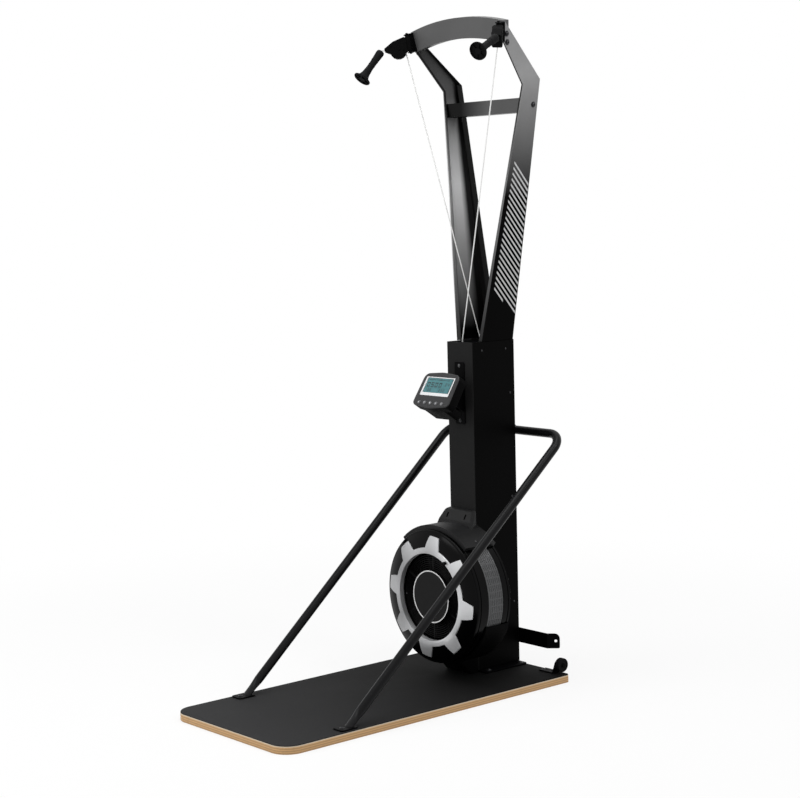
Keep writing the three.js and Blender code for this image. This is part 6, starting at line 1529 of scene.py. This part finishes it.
class MakeDrive(bpy.types.Operator):
    """Builds the cord drums, sheaves, belt, shaft and spring cans inside the column"""

    bl_idname = "ski_ergometer.drive"
    bl_label = "Drive"

    def execute(self, context):
        for name, node, y in (("front_cord_drum", "front_drum", DRUM_Y["right"]),
                              ("rear_cord_drum", "rear_drum", DRUM_Y["left"])):
            profile = [(8.7, y - 13), (37.2, y - 13), (38, y - 12.2), (38, y - 11), (27.7, y - 10.5),
                       (27.7, y + 10.5), (38, y + 11), (38, y + 12.2), (37.2, y + 13), (8.7, y + 13)]
            turned(name, profile, "matt_black", node, centre=SHAFT)
        hole, y = 8.8, 490
        for name, node, radius, centre in (("large_sheave", "shaft_sheave", LARGE_SHEAVE, SHAFT),
                                           ("small_sheave", "axle_sheave", SMALL_SHEAVE, AXLE)):
            rim = radius + 4
            profile = [(hole, y - 10), (rim, y - 10), (rim, y - 8), (radius, y - 7.5), (radius, y + 7.5),
                       (rim, y + 8), (rim, y + 10), (hole, y + 10)]
            turned(name, profile, "steel", node, centre=centre)
        front = [(8.7, 409.3), (38.5, 409.3), (40, 410.8), (40, 429.3), (8.7, 429.3)]
        rear = [(8.7, 547), (40, 547), (40, 565.5), (38.5, 567), (16, 567), (16, 598.7), (8.7, 598.7)]
        turned("front_spring_case", front, "zinc", "front_spring_can", centre=SHAFT)
        turned("rear_spring_case", rear, "zinc", "rear_spring_can", centre=SHAFT)
        shaft = [(0, 409.6), (8, 409.6), (8.5, 410.2), (8.5, 573.4), (8, 574), (0, 574)]
        turned("turned_shaft", shaft, "steel", "drive_shaft", 48, SHAFT)
        self.belt()
        return {"FINISHED"}

    def belt(self):
        """A plain belt round both sheaves."""
        drop = SHAFT_Z - AXLE_Z

        def loop(grow):
            top, bottom = LARGE_SHEAVE + grow, SMALL_SHEAVE + grow
            tilt = math.asin((top - bottom) / drop)
            points = []
            for centre, radius, start, end in ((SHAFT_Z, top, -tilt, math.pi + tilt),
                                               (AXLE_Z, bottom, math.pi + tilt, TURN - tilt)):
                points += [Vector((radius * math.cos(a), centre + radius * math.sin(a)))
                           for a in (start + (end - start) * k / 32 for k in range(33))]
            return points

        outer, inner = loop(3.6), loop(0.6)
        rings = []
        for y, points in ((483, outer), (497, outer), (497, inner), (483, inner)):
            rings.append([Vector((p.x, y, p.y)) for p in points])
        instead("drive_belt_loop", Form().skin(rings, closed=True), "belt", "drive_belt")


# Rail, bracket and wheels

class MakeRail(bpy.types.Operator):
    """Builds the bent support rail with its pressed feet, the clamp and the foot plates"""

    bl_idname = "ski_ergometer.rail"
    bl_label = "Support Rail"

    def execute(self, context):
        sizes = context.scene.ergometer_sizes
        corner = {s: Vector((s * RAIL_HALF_WIDTH, RAIL_Y, RAIL_Z)) for s in (-1, 1)}
        foot = {s: Vector((s * RAIL_FOOT[0], RAIL_FOOT[1], RAIL_FOOT[2])) for s in (-1, 1)}
        way = {s: (foot[s] - corner[s]).normalized() for s in (-1, 1)}
        ends = {s: foot[s] + way[s] * RAIL_TOE for s in (-1, 1)}
        run = bent([ends[-1], corner[-1], corner[1], ends[1]], RAIL_BEND, 14)
        pressed = ((0, 1.2, 0.45), (20, 1.2, 0.45), (36, 1.2, 0.45), (46, 1.17, 0.53), (56, 1.11, 0.7),
                   (66, 1.05, 0.87), (76, 1.01, 0.97), (86, 1, 1))
        start = [ends[-1] - way[-1] * row[0] for row in pressed]
        finish = [ends[1] - way[1] * row[0] for row in reversed(pressed)]
        points = start + run[1:-1] + finish
        last = len(points) - 1

        def section(index):
            """How wide and how thick the tube is at a point, as shares of its radius."""
            return pressed[min(index, last - index, len(pressed) - 1)][1:]

        form = Form().sweep(points, RAIL_RADIUS, 40, section)
        # The pressed ends are cut level, so that they sit on their plates
        bm = form.bm
        bmesh.ops.bisect_plane(bm, geom=bm.verts[:] + bm.edges[:] + bm.faces[:], dist=1e-4,
                               plane_co=(0, 0, FOOT_TOP + FIT), plane_no=(0, 0, -1), clear_outer=True)
        bmesh.ops.holes_fill(bm, edges=[e for e in bm.edges if e.is_boundary], sides=0)
        instead("bent_rail", form, "rail_paint", "support_rail", angle=50)
        dressed("rail_clamp", "black_paint", sizes.fold_radius)
        for name in ("left_foot_plate", "right_foot_plate"):
            dressed(name, "black_paint", sizes.fold_radius)
        clamp = [((side * 17, COLUMN_REAR + 4.3, z), (0, 1, 0)) for side in (-1, 1) for z in (810, 882)]
        screws("clamp_screws", clamp, sizes.screw_radius * 0.7)
        toes = [((side * RAIL_FOOT[0], RAIL_FOOT[1] - 42, FOOT_TOP), (0, 0, 1)) for side in (-1, 1)]
        screws("foot_plate_screws", toes, sizes.screw_radius * 0.8)
        return {"FINISHED"}


class MakeBracketAndWheels(bpy.types.Operator):
    """Finishes the wall bracket and builds the transport wheels"""

    bl_idname = "ski_ergometer.bracket_and_wheels"
    bl_label = "Bracket and Wheels"

    def execute(self, context):
        sizes = context.scene.ergometer_sizes
        dressed("wall_bracket", "black_paint", sizes.fold_radius * 0.7, angle=50, limit=60)
        strap = [((side * 40, COLUMN_REAR + 5.3, 126), (0, 1, 0)) for side in (-1, 1)]
        screws("bracket_screws", strap, sizes.screw_radius)
        for side, name in SIDES:
            dressed(name + "_wheel_bracket", "black_paint", sizes.fold_radius / 2)
            tread = [(5.3, -10), (9, -10), (9.6, -8.6), (16.5, -8.6), (17.2, -10), (20.5, -10)]
            tread += arc_points(21, -7, 3, -90, 0, 5) + [(24, 0)]
            tread += [(r, -y) for r, y in reversed(tread[:-1])]
            place = Matrix.Translation((side * WHEEL_X, WHEEL_Y, WHEEL_Z)) @ turned_about("Z", math.pi / 2)
            form = Form().lathe(tread, 64).moved(place)
            instead(name + "_roller_wheel", form, "rubber", name + "_transport_wheel")
            plate = [((side * x, 592, DECK_TOP + 4.3), (0, 0, 1)) for x in (205, 232)]
            screws(name + "_wheel_screws", plate, sizes.screw_radius * 0.6)
        return {"FINISHED"}


# Console

SEGMENTS = {
    "0": "abcdef", "1": "bc", "2": "abged", "3": "abgcd", "4": "fgbc", "5": "afgcd", "6": "afgedc",
    "7": "abc", "8": "abcdefg", "9": "abcdfg",
}


class MakeConsole(bpy.types.Operator):
    """Builds the console: body, display with digits, buttons, knob and bracket"""

    bl_idname = "ski_ergometer.console"
    bl_label = "Console"

    def execute(self, context):
        sizes = context.scene.ergometer_sizes
        self.body()
        self.screen()
        self.buttons()
        dressed("console_bracket", "black_paint", sizes.fold_radius / 2)
        self.knob()
        # The lower screw is given blackened steel as painted shade, on a screw like the upper one
        for name, z, metal in (("upper_bracket_screw", 1083, "band_metal"),
                               ("lower_bracket_screw", 895, "black_steel")):
            screws(name, [((0, 402.4, z), (0, -1, 0))], sizes.screw_radius * 0.6, metal)
        return {"FINISHED"}

    def body(self):
        half, top, bottom, swell = 91, 52, -79, 8
        face = rounded([(-half, bottom + swell, 16), (0, bottom - swell / 2, 170), (half, bottom + swell, 16),
                        (half - swell / 2, top - swell / 2, 24), (0, top + swell / 2, 170),
                        (-half + swell / 2, top - swell / 2, 24)], 10)
        form = Form().slab(face, 0, 40, Y_BASIS, 5, 6)
        hump = Form().slab(rectangle(-59, 59, -58, 34, 18, 8), 22, 55, Y_BASIS, 9, 6)
        cell_box = Form().slab(rectangle(-58, 58, -77, -44, 10, 8), 24, 100, Y_BASIS, 8, 6)
        pivot_y, pivot_z = TILT_PIVOT
        lug = Form().slab(circle(pivot_y, pivot_z, 10, 40), -15, 15, X_BASIS, 1, 2)
        neck = Form().block(-14.8, 14.8, 50, 69, -19.8, -0.2)
        recess = Form().slab(rectangle(-71.3, 71.3, -35.8, 35.8, 3), -5, RECESS_DEPTH, Y_BASIS)
        well = [(0, -5), (7.5, -5), (7.5, 8), (0, 8)]
        wells = [Form().lathe(well, 40, (x, 0, BUTTON_Z)) for x in self.places()]
        pin = Form().slab(circle(pivot_y, pivot_z, 4.4, 32), -20, 20, X_BASIS)
        mesh = carved(form, [recess, pin, *wells], [hump, cell_box, lug, neck])
        mesh.materials.clear()
        for finish in ("console_black", "console_face"):
            mesh.materials.append(MATERIALS[finish])
        face_ends = (RECESS_DEPTH + 0.4) * MM
        for polygon in mesh.polygons:
            polygon.material_index = 1 if polygon.center.y < face_ends else 0
        shape = bmesh.new()
        shape.from_mesh(mesh)
        scale = Matrix.Scale(MM, 4)
        bmesh.ops.transform(shape, matrix=scale @ CONSOLE @ scale.inverted(), verts=shape.verts)
        shape.to_mesh(mesh)
        shape.free()
        instead("console_housing", mesh, None, "console_body", angle=30)

    def places(self):
        return [(i - 2) * BUTTON_PITCH for i in range(5)]

    def screen(self):
        """The light frame, the lit glass and the digits."""
        front = RECESS_DEPTH - FIT - 2.4
        back = RECESS_DEPTH - FIT
        outer, inner = rectangle(-71, 71, -35.5, 35.5, 3, 6), rectangle(-64, 65.5, -24, 32, 2, 6)
        rings = []
        for points, y in ((outer, back), (outer, front + 0.5), (inset(outer, 0.5), front),
                          (inset(inner, -0.4), front), (inner, front + 0.4), (inner, back)):
            rings.append([Vector((p.x, y, p.y)) for p in points])
        frame_form = Form().skin(rings, closed=True).moved(CONSOLE)
        instead("display_frame", frame_form, "bezel", "console_screen")

        glass = Form()
        layer = glass.bm.loops.layers.uv.new("along")
        half, low, high = 61.4, -22.9, 30.9
        corners = [(-half, low), (half, low), (half, high), (-half, high)]
        for y, order in ((front + 0.8, 1), (2.6, -1)):
            face = glass.bm.faces.new([glass.bm.verts.new((x, y, z)) for x, z in corners[::order]])
            for loop in face.loops:
                loop[layer].uv = ((loop.vert.co.x + half) / (2 * half), (loop.vert.co.z + 24) / (2 * half))
        glass.moved(CONSOLE)
        piece("display_pane", glass, "display", "console")

        marks = Form()
        level = front + 0.8
        groups = (("0500", -48, 19.5, 6, 13.5, 18), ("24", 37, 13, 9, 8, 12),
                  ("136", -52, 11, -14, 7, 10), ("1250", 4, 11, -14, 7, 10))
        for text, first, pitch, z, width, height in groups:
            for k, digit in enumerate(text):
                self.digit(marks, digit, first + k * pitch, z, width, height, level)
        for z in (2, 10):
            self.bar(marks, -19.7, -17.3, z - 1.2, z + 1.2, level)
        for k in range(16):
            tall = 2 + 3.6 * (0.5 + 0.5 * math.sin(0.9 * k))
            self.bar(marks, -54 + 6.4 * k, -50 + 6.4 * k, 25 - tall / 2, 25 + tall / 2, level)
        self.bar(marks, -58, 58, -6.3, -5.7, level)
        self.bar(marks, 26, 26.4, 2, 19, level)
        marks.moved(CONSOLE)
        piece("display_digits", marks, "digits", "console")

    def bar(self, form, x0, x1, z0, z1, y):
        form.skin([[Vector((x, level, z)) for x, z in ((x0, z0), (x1, z0), (x1, z1), (x0, z1))]
                   for level in (y + 0.05, y - 0.12)])

    def digit(self, form, digit, x, z, width, height, y):
        """A seven-segment digit, as short bars."""
        thick, gap = width * 0.28, 0.25
        w, h = width / 2, height / 2
        spans = {
            "a": (-w, w, h - thick, h), "g": (-w, w, -thick / 2, thick / 2), "d": (-w, w, -h, -h + thick),
            "f": (-w, -w + thick, 0.4, h - 0.4), "b": (w - thick, w, 0.4, h - 0.4),
            "e": (-w, -w + thick, -h + 0.4, -0.4), "c": (w - thick, w, -h + 0.4, -0.4)}
        for key in SEGMENTS[digit]:
            x0, x1, z0, z1 = spans[key]
            self.bar(form, x + x0 + gap, x + x1 - gap, z + z0 + gap / 2, z + z1 - gap / 2, y)

    def buttons(self):
        """Round buttons with a plain symbol each."""
        symbols = [[(-2.6, -1.9), (2.6, -1.9), (0, 2.8)], [(-2.6, 1.9), (0, -2.8), (2.6, 1.9)],
                   [(-2.4, -2.4), (2.4, -2.4), (2.4, 2.4), (-2.4, 2.4)], [(-2, -2.8), (2.8, 0), (-2, 2.8)],
                   [(-0.8, -3), (0.8, -3), (0.8, 3), (-0.8, 3)]]
        profile = [(0, -2.5), (3.5, -2.45), (5.2, -2.2), (6.3, -1.6), (6.85, -0.8), (7, 0), (7, 6.2),
                   (0, 6.2)]
        for index, (x, symbol) in enumerate(zip(self.places(), symbols), 1):
            form = Form().lathe(profile, 48, (x, 0, BUTTON_Z)).moved(CONSOLE)
            node = f"console_button_{index}"
            instead(f"round_button_{index}", form, "button", node)
            mark = Form().skin([[Vector((x + px, y, BUTTON_Z + pz)) for px, pz in symbol]
                                for y in (-2.3, -2.62)]).moved(CONSOLE)
            piece(f"button_symbol_{index}", mark, "symbol", body_of(node))

    def knob(self):
        """The fluted clamping knob on its pin."""
        pivot = CONSOLE @ Vector((0, *TILT_PIVOT))
        flutes, steps = 9, 126
        points = []
        for k in range(steps):
            a = TURN * k / steps
            radius = 13.1 + 0.9 * math.cos(flutes * a)
            points.append(Vector((pivot.y + radius * math.cos(a), pivot.z + radius * math.sin(a))))
        form = Form().slab(points, 18.6, 30.6, X_BASIS, 1.4, 3)
        form.slab(circle(pivot.y, pivot.z, 4, 32), -18.6, 20, X_BASIS)
        form.slab(circle(pivot.y, pivot.z, 6.4, 32), -21.6, -18.6, X_BASIS, 0.6, 2)
        instead("fluted_knob", form, "matt_black", "tilt_knob")


# Studio

CAMERA_PLACE = (4.6186, -3.7985, 1.6304)
CAMERA_AZIMUTH = math.radians(49.580)
CAMERA_PITCH = math.radians(6.005)
CAMERA_ROLL = math.radians(-1.4525)
CAMERA_LENS = 82.93


def seen_directly(nodes, links):
    """1 for what the camera sees, also by way of gloss or glass, and 0 for all other light."""
    ray = nodes.new("ShaderNodeLightPath")
    seen = ray.outputs["Is Camera Ray"]
    for kind in ("Is Glossy Ray", "Is Transmission Ray"):
        either = nodes.new("ShaderNodeMath")
        either.operation = "MAXIMUM"
        links.new(seen, either.inputs[0])
        links.new(ray.outputs[kind], either.inputs[1])
        seen = either.outputs[0]
    return seen


def blend_shaders(nodes, links, share, first, second, output):
    """Sends a mix of two shaders to the output."""
    blend = nodes.new("ShaderNodeMixShader")
    for index, socket in enumerate((share, first.outputs[0], second.outputs[0])):
        links.new(socket, blend.inputs[index])
    links.new(blend.outputs[0], next(n for n in nodes if n.type == output).inputs["Surface"])


class MakeStudio(bpy.types.Operator):
    """Builds the pale floor, the soft lights and the camera"""

    bl_idname = "ski_ergometer.studio"
    bl_label = "Studio"

    def execute(self, context):
        self.floor(context)
        self.world(context)
        self.lamps(context)
        self.camera(context)
        context.scene.view_settings.view_transform = "Standard"
        return {"FINISHED"}

    def floor(self, context):
        reach, glow_starts, glow_full, least_glow = 40, 0.9, 3.2, 0.8
        mesh = bpy.data.meshes.new("studio_floor")
        mesh.from_pydata([(-reach, -reach, 0), (reach, -reach, 0), (reach, reach, 0), (-reach, reach, 0)], [],
                         [(0, 1, 2, 3)])
        floor = bpy.data.objects.new("studio_floor", mesh)
        context.scene.collection.objects.link(floor)
        made = Finish("studio_floor_paper", 0.9)
        made.colour(made.mix(made.noise(3, 2), (0.82, 0.82, 0.82), (0.84, 0.84, 0.84)))
        glow = made.add("ShaderNodeEmission")
        glow.inputs["Strength"].default_value = 1.0
        reach_node = made.add("ShaderNodeVectorMath", operation="LENGTH")
        made.links.new(made.place, reach_node.inputs[0])
        away = made.add("ShaderNodeMapRange", interpolation_type="SMOOTHSTEP")
        made.feed(away, Value=reach_node.outputs["Value"], From_Min=glow_starts, From_Max=glow_full,
                  To_Min=least_glow, To_Max=1.0)
        share = made.maths("MULTIPLY", seen_directly(made.nodes, made.links), away.outputs["Result"])
        blend_shaders(made.nodes, made.links, share, made.shader, glow, "OUTPUT_MATERIAL")
        mesh.materials.append(made.material)

    def world(self, context):
        world = bpy.data.worlds.new("studio_air")
        context.scene.world = world
        world.use_nodes = True
        nodes, links = world.node_tree.nodes, world.node_tree.links
        back = next(n for n in nodes if n.type == "BACKGROUND")
        back.inputs["Color"].default_value = (1, 1, 1, 1)
        back.inputs["Strength"].default_value = 0.55
        white = nodes.new("ShaderNodeBackground")
        white.inputs["Color"].default_value = (1, 1, 1, 1)
        blend_shaders(nodes, links, seen_directly(nodes, links), back, white, "OUTPUT_WORLD")

    def lamp(self, context, name, place, aim, width, height, power):
        light = bpy.data.lights.new(name, "AREA")
        light.shape = "RECTANGLE"
        light.size, light.size_y, light.energy = width, height, power
        item = bpy.data.objects.new(name, light)
        item.location = place
        item.rotation_euler = (Vector(aim) - Vector(place)).to_track_quat("-Z", "Y").to_euler()
        context.scene.collection.objects.link(item)

    def lamps(self, context):
        self.lamp(context, "front_softbox", (-1.6, -3.6, 2.6), (0, 0.2, 0.9), 2.4, 1.8, 60)
        self.lamp(context, "overhead_softbox", (0.3, 0.0, 4.2), (0, 0.1, 0.6), 2.6, 2.6, 80)
        self.lamp(context, "head_softbox", (2.1, 0.9, 2.9), (0.25, 0.5, 2.15), 0.6, 0.6, 16)

    def camera(self, context):
        data = bpy.data.cameras.new("studio_camera")
        data.lens = CAMERA_LENS
        data.sensor_width = 36
        item = bpy.data.objects.new("studio_camera", data)
        context.scene.collection.objects.link(item)
        az, pitch, roll = CAMERA_AZIMUTH, CAMERA_PITCH, CAMERA_ROLL
        ahead = Vector((-math.sin(az) * math.cos(pitch), math.cos(az) * math.cos(pitch), -math.sin(pitch)))
        level = Vector((math.cos(az), math.sin(az), 0))
        over = level.cross(ahead)
        right = level * math.cos(roll) + over * math.sin(roll)
        up = over * math.cos(roll) - level * math.sin(roll)
        axes = Matrix((right, up, -ahead)).transposed().to_4x4()
        item.matrix_world = Matrix.Translation(CAMERA_PLACE) @ axes
        context.scene.camera = item


# Panel and running order

OPERATORS = (MakePlatform, MakeColumn, MakeUprights, MakePulleyHeads, MakeHandles, MakeCords, MakeHousing,
             MakeInlet, MakeFlywheel, MakeDrive, MakeRail, MakeBracketAndWheels, MakeConsole, MakeStudio)


class ErgometerPanel(bpy.types.Panel):
    """Lists the steps that build the ski ergometer"""

    bl_idname = "VIEW3D_PT_ski_ergometer"
    bl_label = "Ski Ergometer"
    bl_space_type = "VIEW_3D"
    bl_region_type = "UI"
    bl_category = "Ski Ergometer"

    def draw(self, context):
        layout = self.layout
        for group in (context.scene.ergometer_sizes, context.scene.ergometer_colours):
            column = layout.column(align=True)
            for key in type(group).__annotations__:
                column.prop(group, key)
        column = layout.column(align=True)
        for operator in OPERATORS:
            column.operator(operator.bl_idname)


CLASSES = (ErgometerSizes, ErgometerColours, *OPERATORS, ErgometerPanel)


def register():
    for made in CLASSES:
        bpy.utils.register_class(made)
    bpy.types.Scene.ergometer_sizes = bpy.props.PointerProperty(type=ErgometerSizes)
    bpy.types.Scene.ergometer_colours = bpy.props.PointerProperty(type=ErgometerColours)


def unregister():
    del bpy.types.Scene.ergometer_colours
    del bpy.types.Scene.ergometer_sizes
    for made in reversed(CLASSES):
        bpy.utils.unregister_class(made)


def main():
    register()
    make_materials(bpy.context.scene.ergometer_colours)
    for operator in OPERATORS:
        group, call = operator.bl_idname.split(".")
        getattr(getattr(bpy.ops, group), call)()


if __name__ == "__main__":
    main()
